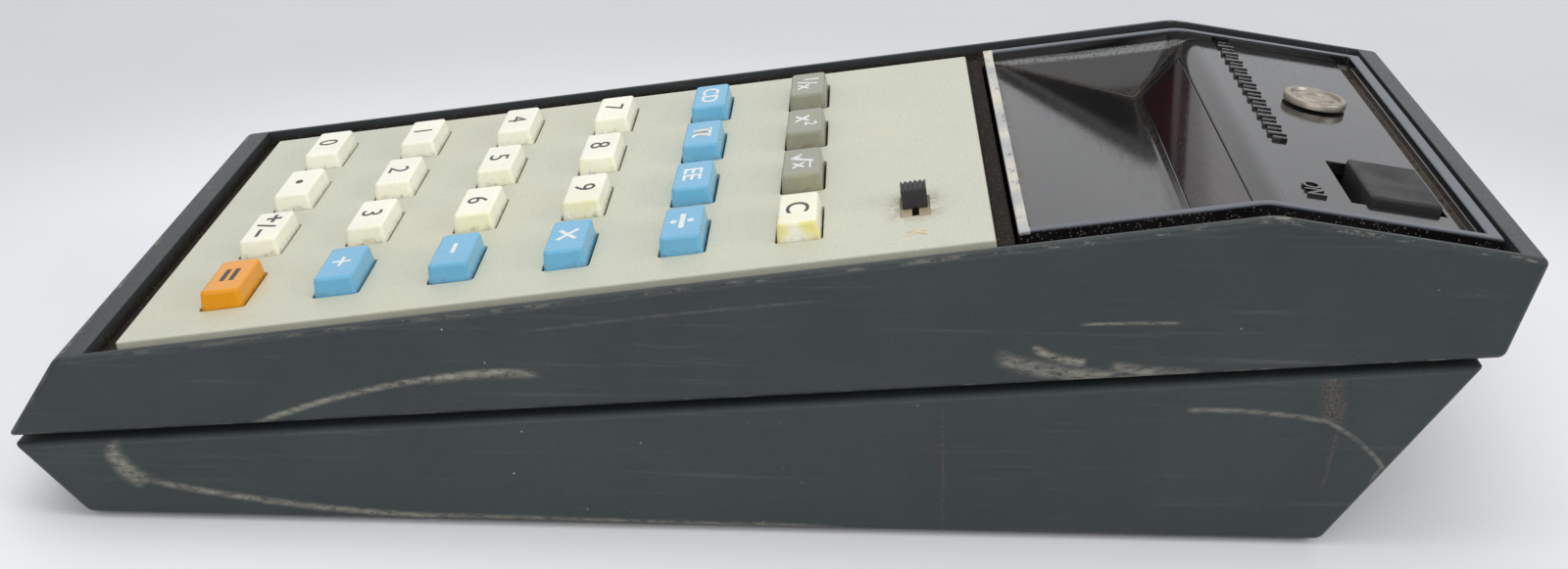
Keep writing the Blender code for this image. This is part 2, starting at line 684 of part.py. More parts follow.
def window_frame(up, out):
    """Matrix on the hopper's rear wall: local +Y up the wall, local +Z out of it."""
    rise = BROW - VALLEY
    along = rise.normalized()
    normal = Vector((-along.y, along.x))
    y, z = VALLEY + along * up + normal * out
    return Matrix.Translation((0.0, y, z)) @ Matrix.Rotation(math.atan2(rise.y, rise.x), 4, "X")


def hull_mesh(name, points):
    shape = bmesh.new()
    for x, (y, z) in points:
        shape.verts.new((x, y, z))
    result = bmesh.ops.convex_hull(shape, input=shape.verts)
    loose = [item for item in result["geom_interior"] if isinstance(item, bmesh.types.BMVert)]
    bmesh.ops.delete(shape, geom=loose, context="VERTS")
    bmesh.ops.dissolve_limit(
        shape, angle_limit=math.radians(0.2), verts=shape.verts, edges=shape.edges
    )
    return mesh_from(shape, name)


def make_display_bezel():
    outline = [
        deck(BEZEL_START, -BEZEL_FRONT_DEPTH),
        deck(VALLEY_S - 0.8 * MM, -VALLEY_DEPTH - 1.6 * MM),
        deck(VALLEY_S + 1.2 * MM, -VALLEY_DEPTH - 1.3 * MM),
        roof(2 * BROW_T, -PANEL_DEPTH - PANEL_THICKNESS),
        roof(BEZEL_ROOF_END, -PANEL_DEPTH - PANEL_THICKNESS),
        roof(BEZEL_ROOF_END, 0.0),
        *ridge_arc(0.0),
        deck(BEZEL_START, 0.0),
    ]
    block = prism_mesh("display_bezel", outline, BEZEL_HALF_WIDTH)
    bezel = add("display_bezel", block, "bezel_black")
    round_edges(bezel, 0.2 * MM, segments=1)

    # Lugs under the case's deck hold the bezel down.
    lug = box_mesh("lug", LUG)
    lugs = []
    for side in (-1, 1):
        lugs.append((lug, deck_frame(side * (BEZEL_HALF_WIDTH + 0.5 * MM), LUG_S, -LUG_DEPTH)))
    boolean(bezel, add("bezel_lugs", joined_mesh("bezel_lugs", lugs)), "UNION")

    inner = BEZEL_HALF_WIDTH - BEZEL_RIM
    start = BEZEL_START + BEZEL_RIM
    end = BEZEL_ROOF_END - BEZEL_RIM - GAP
    band = [
        deck(start, -HOPPER_LIP),
        HOPPER_REAR_LIP,
        BROW,
        roof(end, -PANEL_DEPTH),
        roof(end, WELL_HEADROOM),
        deck(start, WELL_HEADROOM),
    ]
    boolean(bezel, add("bezel_band", prism_mesh("bezel_band", band, inner)))
    hopper = []
    for side in (-1, 1):
        for point in (deck(start, -HOPPER_LIP), deck(start, 1.0 * MM), HOPPER_REAR_LIP, BROW):
            hopper.append((side * inner, point))
        hopper.append((side * VALLEY_HALF_WIDTH, VALLEY))
    boolean(bezel, add("bezel_hopper", hull_mesh("bezel_hopper", hopper)))

    window = box_mesh("window", (2 * WINDOW_HALF_WIDTH, WINDOW_HEIGHT, 8.0 * MM))
    boolean(bezel, add("window", window, frame=window_frame(WINDOW_MIDDLE, -2.0 * MM)))
    slot = box_mesh("power_slot", (POWER_SLOT_X, POWER_SLOT_END - POWER_SLOT_START, 8.0 * MM))
    slot_middle = (POWER_SLOT_START + POWER_SLOT_END) / 2
    boolean(bezel, add("power_slot", slot, frame=roof_frame(POWER_X, slot_middle, -2.0 * MM)))

    red_size = (2 * (WINDOW_HALF_WIDTH - GAP), WINDOW_HEIGHT - 2 * GAP, FILTER_THICKNESS)
    red = box_mesh("display_filter", red_size, (0.0, 0.0, -FILTER_THICKNESS / 2))
    add("display_filter", red, "filter_red", window_frame(WINDOW_MIDDLE, -0.05 * MM))


def make_badge():
    mesh = disc_mesh(
        "badge", BADGE_RADIUS, BADGE_THICKNESS, segments=32, top_radius=BADGE_TOP_RADIUS
    )
    add("badge", mesh, "badge_metal", roof_frame(BADGE_X, BADGE_T, BADGE_PROUD - PANEL_DEPTH))


def make_power_switch():
    size = (POWER_KNOB.x, POWER_KNOB.y, POWER_KNOB.z - POWER_FOOT)
    cap = box_mesh("power_switch_knob", size, (0.0, 0.0, (POWER_KNOB.z + POWER_FOOT) / 2))
    knob = add("power_switch_knob", cap, "switch_black", roof_frame(POWER_X, POWER_T, -PANEL_DEPTH))
    round_edges(knob, 0.4 * MM, segments=2)
    body_middle = POWER_FOOT - 0.4 * MM - POWER_BODY.z / 2
    body_mesh = box_mesh("power_switch_body", POWER_BODY, (0.0, 0.0, body_middle))
    place = roof_frame(POWER_X, POWER_T - POWER_TRAVEL / 2, -PANEL_DEPTH)
    body = add("power_switch_body", body_mesh, "switch_black", place)
    round_edges(body, 0.2 * MM, segments=1)


# ---------------------------------------------------------------- works inside

SHEET_START = 9.9 * MM
SHEET_END = 84.0 * MM
SHEET_BOTTOM = -5.6 * MM
SHEET_THICKNESS = 0.6 * MM
DOME_TOP = -4.35 * MM
KEYBOARD_END = 96.0 * MM
KEYBOARD_TOP = SHEET_BOTTOM - GAP
RIBBON_HALF_WIDTH = 11.0 * MM
RIBBON_THICKNESS = 0.4 * MM


def make_keyboard():
    size = (2 * BOARD_HALF_WIDTH, SHEET_END - SHEET_START, SHEET_THICKNESS)
    middle = (SHEET_START + SHEET_END) / 2
    mesh = box_mesh("key_dome_sheet", size, (0.0, 0.0, SHEET_THICKNESS / 2))
    sheet = add("key_dome_sheet", mesh, "sheet_clear", deck_frame(0.0, middle, SHEET_BOTTOM))
    rise = DOME_TOP - SHEET_BOTTOM - SHEET_THICKNESS / 2
    dome = disc_mesh("dome", 3.0 * MM, rise, segments=10, top_radius=1.6 * MM)
    domes = []
    for row in range(len(KEYS)):
        for column in range(len(KEYS[row])):
            x, s = key_place(row, column)
            domes.append((dome, deck_frame(x, s, SHEET_BOTTOM + SHEET_THICKNESS / 2)))
    boolean(sheet, add("domes", joined_mesh("domes", domes)), "UNION")

    size = (2 * BOARD_HALF_WIDTH, KEYBOARD_END - SHEET_START, BOARD_THICKNESS)
    middle = (SHEET_START + KEYBOARD_END) / 2
    mesh = box_mesh("keyboard_board", size, (0.0, 0.0, -BOARD_THICKNESS / 2))
    add("keyboard_board", mesh, "board_green", deck_frame(0.0, middle, KEYBOARD_TOP))

    # The ribbon leaves the keyboard's underside and turns down to the main board.
    start = deck(KEYBOARD_END - 8.0 * MM, KEYBOARD_TOP - BOARD_THICKNESS - GAP)
    foot = Vector((8.0 * MM, MAIN_BOARD_Z + BOARD_THICKNESS + GAP))
    bend = 3.0 * MM
    strip = RIBBON_THICKNESS
    outline = [
        foot,
        foot + Vector((bend, 0.0)),
        foot + Vector((bend + strip, strip)),
        start + Vector((strip, 0.0)),
        start,
        foot + Vector((bend - strip, strip)),
        foot + Vector((0.0, strip)),
    ]
    ribbon = prism_mesh("keyboard_ribbon", outline, RIBBON_HALF_WIDTH)
    add("keyboard_ribbon", ribbon, "ribbon_amber")


LEG_PITCH = 2.54 * MM
LEG = Vector((0.6 * MM, 1.4 * MM, 2.4 * MM))
LEG_SPREAD = 0.4 * MM
CHIP_LIFT = 1.2 * MM
CHIP_HEIGHT = 3.4 * MM


def chip_mesh(name, length, width, legs_a_side):
    """A dual in-line package: a body with a row of legs down each long side."""
    body = box_mesh(name, (length, width, CHIP_HEIGHT), (0.0, 0.0, CHIP_LIFT + CHIP_HEIGHT / 2))
    leg = box_mesh("leg", LEG)
    legs = []
    for side in (-1, 1):
        for number in range(legs_a_side):
            x = (number - (legs_a_side - 1) / 2) * LEG_PITCH
            legs.append((leg, Matrix.Translation((x, side * (width / 2 + LEG_SPREAD), LEG.z / 2))))
    return body, joined_mesh(f"{name}_legs", legs)


def make_main_board():
    size = (2 * BOARD_HALF_WIDTH, MAIN_BOARD_REAR_Y - MAIN_BOARD_FRONT_Y, BOARD_THICKNESS)
    middle = (MAIN_BOARD_FRONT_Y + MAIN_BOARD_REAR_Y) / 2
    centre = (0.0, middle, MAIN_BOARD_Z + BOARD_THICKNESS / 2)
    add("main_board", box_mesh("main_board", size, centre), "board_green")
    top = MAIN_BOARD_Z + BOARD_THICKNESS + GAP
    chips = (
        ("calculator_chip", 36.0 * MM, 13.6 * MM, 14, (0.0, -34.0 * MM)),
        ("segment_driver_chip", 23.0 * MM, 6.4 * MM, 9, (-14.0 * MM, -13.0 * MM)),
        ("digit_driver_chip", 23.0 * MM, 6.4 * MM, 9, (14.0 * MM, -13.0 * MM)),
    )
    for name, length, width, legs_a_side, (x, y) in chips:
        body, legs = chip_mesh(name, length, width, legs_a_side)
        frame = Matrix.Translation((x, y, top))
        chip = add(name, body, "chip_black", frame)
        boolean(chip, add(f"{name}_legs", legs, frame=frame), "UNION")


def make_display():
    middle = WINDOW_MIDDLE - 0.4 * MM
    board = box_mesh("display_board", DISPLAY_BOARD)
    add("display_board", board, "board_green", window_frame(middle, -6.2 * MM))
    bar = box_mesh("led_display", LED_BAR)
    display = add("led_display", bar, "led_lens", window_frame(middle, -4.0 * MM))
    round_edges(display, 0.8 * MM, segments=2, angle=60.0)


def make_battery():
    cells = [REAR_CELL_Y - number * CELL_PITCH for number in range(3)]
    across = Matrix.Rotation(math.radians(90), 4, "Y")
    half = CELL_LENGTH / 2
    barrel = profile_mesh("battery_cell", [
        (0.0, half),
        (CELL_PIP_RADIUS, half),
        (CELL_PIP_RADIUS, half - CELL_PIP),
        (CELL_RADIUS, half - CELL_PIP),
        (CELL_RADIUS, CELL_RECESS - half),
        (CELL_RECESS_RADIUS, CELL_RECESS - half),
        (CELL_RECESS_RADIUS, -half),
        (0.0, -half),
    ])
    for number, y in enumerate(cells, 1):
        # The cells alternate, so that they join in series.
        flip = Matrix.Rotation(math.pi * (number % 2), 4, "Z")
        frame = Matrix.Translation((0.0, y, CELL_Z)) @ flip @ across
        turn(add(f"battery_cell_{number}", barrel, "cell_wrap", frame), steps=24)

    front = cells[-1] - CELL_RADIUS - 1.0 * MM
    outline = [
        Vector((front, HOLDER_FOOT_Z)),
        Vector((HOLDER_REAR_FOOT_Y, HOLDER_FOOT_Z)),
        Vector((HOLDER_REAR_Y, HOLDER_KNEE_Z)),
        Vector((HOLDER_REAR_Y, HOLDER_TOP_Z)),
        Vector((front, HOLDER_TOP_Z)),
    ]
    block = prism_mesh("battery_holder", outline, BOARD_HALF_WIDTH)
    holder = add("battery_holder", block, "holder_white")
    end_gap = 0.4 * MM
    cradle = disc_mesh("cradle", CELL_RADIUS + GAP, CELL_LENGTH + 2 * end_gap, segments=24)
    lift = Matrix.Translation((0.0, 0.0, -half - end_gap))
    cuts = [(cradle, Matrix.Translation((0.0, y, CELL_Z)) @ across @ lift) for y in cells]
    boolean(holder, add("cradles", joined_mesh("cradles", cuts)))


def wire(name, points, material):
    """A lead through the points, as a round polyline with closed ends."""
    curve = bpy.data.curves.new(name, "CURVE")
    curve.dimensions = "3D"
    curve.bevel_depth = LEAD_RADIUS
    curve.bevel_resolution = 2
    curve.use_fill_caps = True
    spline = curve.splines.new("POLY")
    spline.points.add(len(points) - 1)
    for point, place in zip(spline.points, points):
        point.co = (*place, 1.0)
    obj = bpy.data.objects.new(name, curve)
    curve.materials.append(materials[material])
    parts.objects.link(obj)


def lead_path(x):
    """From beside the holder down to the main board's rear edge, as a quarter turn."""
    radius = 3.0 * MM
    steps = 6
    start = Vector((x, LEAD_Y, HOLDER_TOP_Z + 0.2 * MM))
    centre = start + Vector((0.0, -radius, 0.0))
    points = [start + Vector((0.0, 0.0, -4.0 * MM)), start]
    for step in range(1, steps + 1):
        angle = math.radians(90) * step / steps
        points.append(centre + Vector((0.0, math.cos(angle), math.sin(angle))) * radius)
    points.append(points[-1] + Vector((0.0, -3.0 * MM, 0.0)))
    return points


def make_leads():
    wire("battery_lead_red", lead_path(LEAD_X), "lead_red")
    wire("battery_lead_black", lead_path(-LEAD_X), "lead_black")


def jack_frame(y):
    """Matrix on the socket's axis whose local +Z runs forwards from y."""
    return Matrix.Translation((JACK_X, y, JACK_Z)) @ Matrix.Rotation(math.radians(90), 4, "X")


def make_charging_jack():
    """A turned socket that looks out through the rear wall."""
    profile = [
        (JACK_BORE_RADIUS, JACK_LENGTH),
        (JACK_RADIUS, JACK_LENGTH),
        (JACK_RADIUS, 0.0),
        (JACK_BORE_RADIUS, 0.0),
    ]
    mesh = profile_mesh("charging_jack", profile, closed=True)
    turn(add("charging_jack", mesh, "jack_black", jack_frame(JACK_REAR_Y)), steps=24)


make_upper_case()
make_lower_case()
make_feet()
make_screws()
make_key_plate()
make_keys()
make_constant_switch()
make_display_bezel()
make_badge()
make_power_switch()
make_keyboard()
make_main_board()
make_display()
make_battery()
make_leads()
make_charging_jack()
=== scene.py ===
"""Looks of the pocket calculator: refined pieces, worn plastic, a pale table and soft light.

Metres, +Z up, +Y towards the display, +X to the user's right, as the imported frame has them.
The two sloping planes on top are called the deck (keys) and the roof (behind the display).
"""
import json
import math

import bmesh
import bpy
from mathutils import Matrix, Vector

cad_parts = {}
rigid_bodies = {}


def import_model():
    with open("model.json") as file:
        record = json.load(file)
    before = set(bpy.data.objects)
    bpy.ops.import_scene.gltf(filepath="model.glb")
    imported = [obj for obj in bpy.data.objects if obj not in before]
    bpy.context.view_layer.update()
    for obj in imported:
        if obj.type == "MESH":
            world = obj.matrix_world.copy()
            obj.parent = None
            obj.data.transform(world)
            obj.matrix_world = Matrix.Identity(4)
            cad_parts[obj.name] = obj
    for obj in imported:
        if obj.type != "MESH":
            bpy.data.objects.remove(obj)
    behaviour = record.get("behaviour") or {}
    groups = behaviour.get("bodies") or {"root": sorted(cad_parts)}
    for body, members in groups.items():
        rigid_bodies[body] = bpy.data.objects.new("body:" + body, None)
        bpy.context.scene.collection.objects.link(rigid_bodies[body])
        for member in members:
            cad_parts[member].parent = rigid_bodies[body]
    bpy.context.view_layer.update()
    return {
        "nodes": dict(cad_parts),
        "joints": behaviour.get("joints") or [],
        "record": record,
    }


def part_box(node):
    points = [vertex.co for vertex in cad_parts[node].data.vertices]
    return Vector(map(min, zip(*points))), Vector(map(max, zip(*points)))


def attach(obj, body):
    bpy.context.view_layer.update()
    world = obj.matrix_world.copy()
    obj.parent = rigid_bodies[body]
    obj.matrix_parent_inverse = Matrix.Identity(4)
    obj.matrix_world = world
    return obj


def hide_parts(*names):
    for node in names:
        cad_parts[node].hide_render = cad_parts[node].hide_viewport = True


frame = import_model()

MM = 0.001
CAD = frame["nodes"]

# ---------------------------------------------------------------- places taken from the frame

JOINTS = {joint["child"]: joint for joint in frame["joints"]}
SLOTS = {part["node"]: part["material_slot"] for part in frame["record"]["subparts"]}
DECK_UP = -Vector(JOINTS["key_0"]["axis"]).normalized()
DECK_ALONG = Vector((0.0, DECK_UP.z, -DECK_UP.y))
ROOF_ALONG = -Vector(JOINTS["power_switch_knob"]["axis"]).normalized()
ROOF_UP = Vector((0.0, -ROOF_ALONG.z, ROOF_ALONG.y))
ACROSS = Vector((1.0, 0.0, 0.0))
CASE = JOINTS["key_0"]["parent"]

HALF_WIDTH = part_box("upper_case")[1].x
RIDGE_RADIUS = 9.0 * MM
EDGE_RADIUS = 0.8 * MM
LONG_SIDE = 4.0 * MM


def axes_frame(along, up, origin=(0.0, 0.0, 0.0)):
    """Matrix with local +X across the case, +Y along and +Z up."""
    matrix = Matrix((ACROSS, along, up)).transposed().to_4x4()
    matrix.translation = origin
    return matrix


def span(node, axes):
    """Lowest and highest corner of a node, measured along the axes."""
    back = axes.inverted()
    points = [back @ vert.co for vert in CAD[node].data.vertices]
    low = Vector(min(point[i] for point in points) for i in range(3))
    high = Vector(max(point[i] for point in points) for i in range(3))
    return low, high


def centre_of(node, axes):
    low, high = span(node, axes)
    return (low + high) / 2


def foot_circle(node):
    """(x, y) of an upright round node's axis, its radius and its height range."""
    low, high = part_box(node)
    middle = (low + high) / 2
    return middle.x, middle.y, (high.x - low.x) / 2, (low.z, high.z)


def cross_2d(a, b):
    return a.x * b.y - a.y * b.x


def hull_2d(points):
    """Counter-clockwise convex outline of the points."""
    ordered = sorted({(round(p.x, 8), round(p.y, 8)) for p in points})
    halves = []
    for run in (ordered, ordered[::-1]):
        half = []
        for point in map(Vector, run):
            while len(half) > 1 and cross_2d(half[-1] - half[-2], point - half[-1]) <= 1e-12:
                half.pop()
            half.append(point)
        halves += half[:-1]
    return halves


def meet(first, second):
    """Where two straight sides, each a (start, end), would cross."""
    (a, b), (c, d) = first, second
    along, other = b - a, d - c
    return a + along * (cross_2d(c - a, other) / cross_2d(along, other))


def side_corners(node):
    """Sharp corners of a case half in side view, from the front foot round by the rear."""
    rows = [v.co for v in CAD[node].data.vertices if abs(v.co.x) > 0.965 * HALF_WIDTH]
    hull = hull_2d([Vector((co.y, co.z)) for co in rows])
    sides = [(a, b) for a, b in zip(hull, hull[1:] + hull[:1]) if (b - a).length > LONG_SIDE]
    sides.sort(key=lambda side: math.atan2(*(side[1] - side[0]).yx) % math.tau)
    if math.atan2(*(sides[-1][1] - sides[-1][0]).yx) > -0.1:
        sides.insert(0, sides.pop())
    return [meet(sides[i - 1], sides[i]) for i in range(len(sides))]


UPPER = side_corners("upper_case")
LOWER = side_corners("lower_case")
RIDGE, DECK_START = UPPER[3], UPPER[4]


def deck(s, n):
    """(y, z) of the point s up the deck from its front edge and n above it."""
    return DECK_START + DECK_ALONG.yz * s + DECK_UP.yz * n


def roof(t, n):
    """(y, z) of the point t down the roof from the ridge and n above it."""
    return RIDGE + ROOF_ALONG.yz * t + ROOF_UP.yz * n


def at_x(x, point):
    return Vector((x, point.x, point.y))


DECK = axes_frame(DECK_ALONG, DECK_UP, at_x(0.0, DECK_START))
ROOF = axes_frame(ROOF_ALONG, ROOF_UP, at_x(0.0, RIDGE))
DECK_LENGTH = (RIDGE - DECK_START).length
ROOF_LENGTH = (UPPER[2] - RIDGE).length
TILT = math.atan2(DECK_ALONG.z, DECK_ALONG.y)
ROOF_TILT = -math.atan2(ROOF_ALONG.z, ROOF_ALONG.y)


def ridge_arc(depth, steps=8):
    """The rounded ridge from the roof side to the deck side, lowered by depth."""
    turn = TILT + ROOF_TILT
    centre = roof(RIDGE_RADIUS * math.tan(turn / 2), -RIDGE_RADIUS)
    points = []
    for step in range(steps + 1):
        angle = math.pi / 2 - ROOF_TILT + turn * step / steps
        points.append(centre + Vector((math.cos(angle), math.sin(angle))) * (RIDGE_RADIUS - depth))
    return points


def on_deck(x, s, n):
    return DECK @ Matrix.Translation((x, s, n))


def on_roof(x, t, n):
    return ROOF @ Matrix.Translation((x, t, n))


PLATE_LOW, PLATE_HIGH = span("key_plate", DECK)
BEZEL_START = span("display_bezel", DECK)[0].y
BEZEL_END = span("display_bezel", ROOF)[1].y
KEYS = [name for name in CAD if name.startswith("key_") and name in JOINTS]
CONSTANT_TRAVEL = JOINTS["constant_switch_knob"]["range_m"][1]

# Parts of the case, as the CAD has them
WALL = 2.0 * MM
GAP = 0.3 * MM
WELL_DEPTH = 2.0 * MM
WELL_HEADROOM = 12.0 * MM
SIDE_RIM = 1.2 * MM
FRONT_RIM = 3.0 * MM
REAR_RIM = ROOF_LENGTH - 25.3 * MM
KEY_OPENING = (62.4 * MM, 86.7 * MM, 12.0 * MM)
KEY_OPENING_S = 52.65 * MM
DISPLAY_OPENING_DEPTH = 9.0 * MM
BOSS_FOOT = 8.5 * MM
BOSS_RADIUS = 2.8 * MM
PILOT_RADIUS = 1.5 * MM
PILOT_DEPTH = 5.0 * MM
JACK_HOLE_RADIUS, JACK_HOLE_DEPTH, JACK_HOLE_END = 3.3 * MM, 12.0 * MM, 84.0 * MM
LIP_FRONT_Y, LIP_REAR_Y = -75.7 * MM, 72.9 * MM
LIP_ROOT, LIP_HEIGHT, LIP_WALL = 3.0 * MM, 1.2 * MM, 1.4 * MM
LIP_HALF_WIDTH = 37.2 * MM
POST_RADIUS = 3.0 * MM
SCREW_HEAD_RADIUS = 2.5 * MM
SCREW_HOLE_RADIUS = 1.55 * MM
POCKET_DEPTH = 1.6 * MM

# The display bezel, as the CAD has it
BEZEL_HALF = 34.8 * MM
BEZEL_RIM = 1.2 * MM
BEZEL_FRONT_DEPTH = 2.9 * MM
PANEL_DEPTH = 0.95 * MM
PANEL_THICKNESS = 1.5 * MM
HOPPER_FRONT_DEPTH = 1.5 * MM
HOPPER_REAR_DEPTH = 2.3 * MM
HOPPER_REAR_STOP = 1.7 * MM
VALLEY_HALF = 30.5 * MM
LUG = (2.0 * MM, 14.0 * MM, 0.9 * MM)
LUG_S, LUG_DEPTH = 114.0 * MM, 4.8 * MM
SLOT = (14.0 * MM, 10.2 * MM, 8.0 * MM)
SLOT_T = 15.7 * MM
GROOVE_LENGTH, GROOVE_DEPTH = 1.7 * MM, 1.8 * MM
BELOW_VALLEY = 1.6 * MM


# ---------------------------------------------------------------- mesh tools

def mesh_of(shape, name="shape"):
    bmesh.ops.recalc_face_normals(shape, faces=shape.faces)
    mesh = bpy.data.meshes.new(name)
    shape.to_mesh(mesh)
    shape.free()
    return mesh


def box_mesh(size, centre=(0.0, 0.0, 0.0), frame_matrix=None):
    shape = bmesh.new()
    bmesh.ops.create_cube(shape, size=1.0)
    bmesh.ops.scale(shape, vec=size, verts=shape.verts)
    bmesh.ops.translate(shape, vec=centre, verts=shape.verts)
    if frame_matrix is not None:
        bmesh.ops.transform(shape, matrix=frame_matrix, verts=shape.verts)
    return mesh_of(shape)


def disc_mesh(radius, depth, segments=48, frame_matrix=None):
    """A cylinder along local Z, standing on z = 0."""
    shape = bmesh.new()
    bmesh.ops.create_cone(
        shape, cap_ends=True, segments=segments, radius1=radius, radius2=radius, depth=depth
    )
    bmesh.ops.translate(shape, vec=(0.0, 0.0, depth / 2), verts=shape.verts)
    if frame_matrix is not None:
        bmesh.ops.transform(shape, matrix=frame_matrix, verts=shape.verts)
    return mesh_of(shape)


def prism_mesh(outline, half_width):
    """A solid whose side view is the (y, z) outline."""
    shape = bmesh.new()
    rings = []
    for x in (-half_width, half_width):
        rings.append([shape.verts.new(at_x(x, point)) for point in outline])
    left, right = rings
    shape.faces.new(left)
    shape.faces.new(right)
    for i in range(len(outline)):
        shape.faces.new((left[i - 1], left[i], right[i], right[i - 1]))
    return mesh_of(shape)


def merged(meshes):
    shape = bmesh.new()
    for mesh in meshes:
        shape.from_mesh(mesh)
        bpy.data.meshes.remove(mesh)
    mesh = bpy.data.meshes.new("merged")
    shape.to_mesh(mesh)
    shape.free()
    return mesh


def turned_mesh(profile, frame_matrix, steps=48):
    """The (radius, height) profile, which starts and ends on the axis, spun about local Z."""
    shape = bmesh.new()
    verts = [shape.verts.new((r, 0.0, z)) for r, z in profile]
    edges = [shape.edges.new(pair) for pair in zip(verts, verts[1:])]
    bmesh.ops.spin(
        shape, geom=verts + edges, cent=(0, 0, 0), axis=(0, 0, 1), angle=math.tau, steps=steps
    )
    bmesh.ops.remove_doubles(shape, verts=shape.verts, dist=0.001 * MM)
    bmesh.ops.transform(shape, matrix=frame_matrix, verts=shape.verts)
    return mesh_of(shape)


class Solid:
    """A mesh shaped step by step, each step applied at once."""

    def __init__(self, mesh):
        self.obj = bpy.data.objects.new("solid", mesh)
        bpy.context.scene.collection.objects.link(self.obj)

    def apply(self):
        bpy.context.view_layer.update()
        graph = bpy.context.evaluated_depsgraph_get()
        mesh = bpy.data.meshes.new_from_object(self.obj.evaluated_get(graph))
        self.obj.modifiers.clear()
        old, self.obj.data = self.obj.data, mesh
        bpy.data.meshes.remove(old)
        return self

    def boolean(self, mesh, operation="DIFFERENCE"):
        other = bpy.data.objects.new("cutter", mesh)
        bpy.context.scene.collection.objects.link(other)
        modifier = self.obj.modifiers.new("boolean", "BOOLEAN")
        modifier.operation = operation
        modifier.object = other
        modifier.solver = "EXACT"
        self.apply()
        bpy.data.objects.remove(other)
        bpy.data.meshes.remove(mesh)
        return self

    def bevel(self, width, segments=3, angle=30.0):
        modifier = self.obj.modifiers.new("bevel", "BEVEL")
        modifier.width = width
        modifier.segments = segments
        modifier.limit_method = "ANGLE"
        modifier.angle_limit = math.radians(angle)
        modifier.use_clamp_overlap = False
        return self.apply()

    def bevel_edges(self, chosen, width, segments=4):
        """Rounds only the edges for which chosen(edge) holds."""
        shape = bmesh.new()
        shape.from_mesh(self.obj.data)
        edges = [edge for edge in shape.edges if chosen(edge)]
        bmesh.ops.bevel(
            shape, geom=edges, offset=width, segments=segments, profile=0.5, affect="EDGES"
        )
        shape.to_mesh(self.obj.data)
        shape.free()
        return self

    def tidy(self):
        """Removes doubled points and needless edges on flat faces."""
        shape = bmesh.new()
        shape.from_mesh(self.obj.data)
        bmesh.ops.remove_doubles(shape, verts=shape.verts, dist=0.002 * MM)
        bmesh.ops.dissolve_limit(
            shape, angle_limit=math.radians(0.2), verts=shape.verts, edges=shape.edges
        )
        shape.to_mesh(self.obj.data)
        shape.free()
        return self

    def mesh(self):
        mesh = self.obj.data
        bpy.data.objects.remove(self.obj)
        return mesh


def smooth(mesh, angle=40.0):
    mesh.shade_smooth()
    mesh.set_sharp_from_angle(angle=math.radians(angle))


def piece(name, mesh, material, body, node=None, angle=40.0):
    """Adds a finished piece that rides on its body, in place of the CAD node if one is named."""
    smooth(mesh, angle)
    mesh.name = name
    mesh.materials.clear()
    mesh.materials.append(material)
    obj = bpy.data.objects.new(name, mesh)
    bpy.context.scene.collection.objects.link(obj)
    modifier = obj.modifiers.new("flat_faces_first", "WEIGHTED_NORMAL")
    modifier.keep_sharp = True
    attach(obj, body)
    if node:
        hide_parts(node)


def text_mesh(body, size, depth, place, stretch=1.0, weight=0.0):
    """Lettering as a thin solid, centred on the place, which is the surface it stands on."""
    curve = bpy.data.curves.new("text", "FONT")
    curve.body = body
    curve.size = size
    curve.align_x = "CENTER"
    curve.align_y = "CENTER"
    curve.extrude = depth / 2
    curve.offset = weight
    curve.resolution_u = 5
    obj = bpy.data.objects.new("text", curve)
    bpy.context.scene.collection.objects.link(obj)
    bpy.context.view_layer.update()
    graph = bpy.context.evaluated_depsgraph_get()
    mesh = bpy.data.meshes.new_from_object(obj.evaluated_get(graph))
    bpy.data.objects.remove(obj)
    shape = bmesh.new()
    shape.from_mesh(mesh)
    bpy.data.meshes.remove(mesh)
    bmesh.ops.remove_doubles(shape, verts=shape.verts, dist=0.002 * MM)
    low = Vector(min(v.co[i] for v in shape.verts) for i in range(3))
    high = Vector(max(v.co[i] for v in shape.verts) for i in range(3))
    middle = (low + high) / 2
    bmesh.ops.translate(shape, vec=-middle, verts=shape.verts)
    bmesh.ops.scale(shape, vec=(stretch, 1.0, 1.0), verts=shape.verts)
    bmesh.ops.transform(shape, matrix=place, verts=shape.verts)
    return mesh_of(shape)


# ---------------------------------------------------------------- shader tools

def linear(*srgb):
    """An sRGB colour, 0 to 255, as linear values."""
    return tuple(((c / 255 + 0.055) / 1.055) ** 2.4 if c > 10 else c / 255 / 12.92 for c in srgb)


def scaled(colour, share):
    return tuple(min(1.0, c * share) for c in colour)


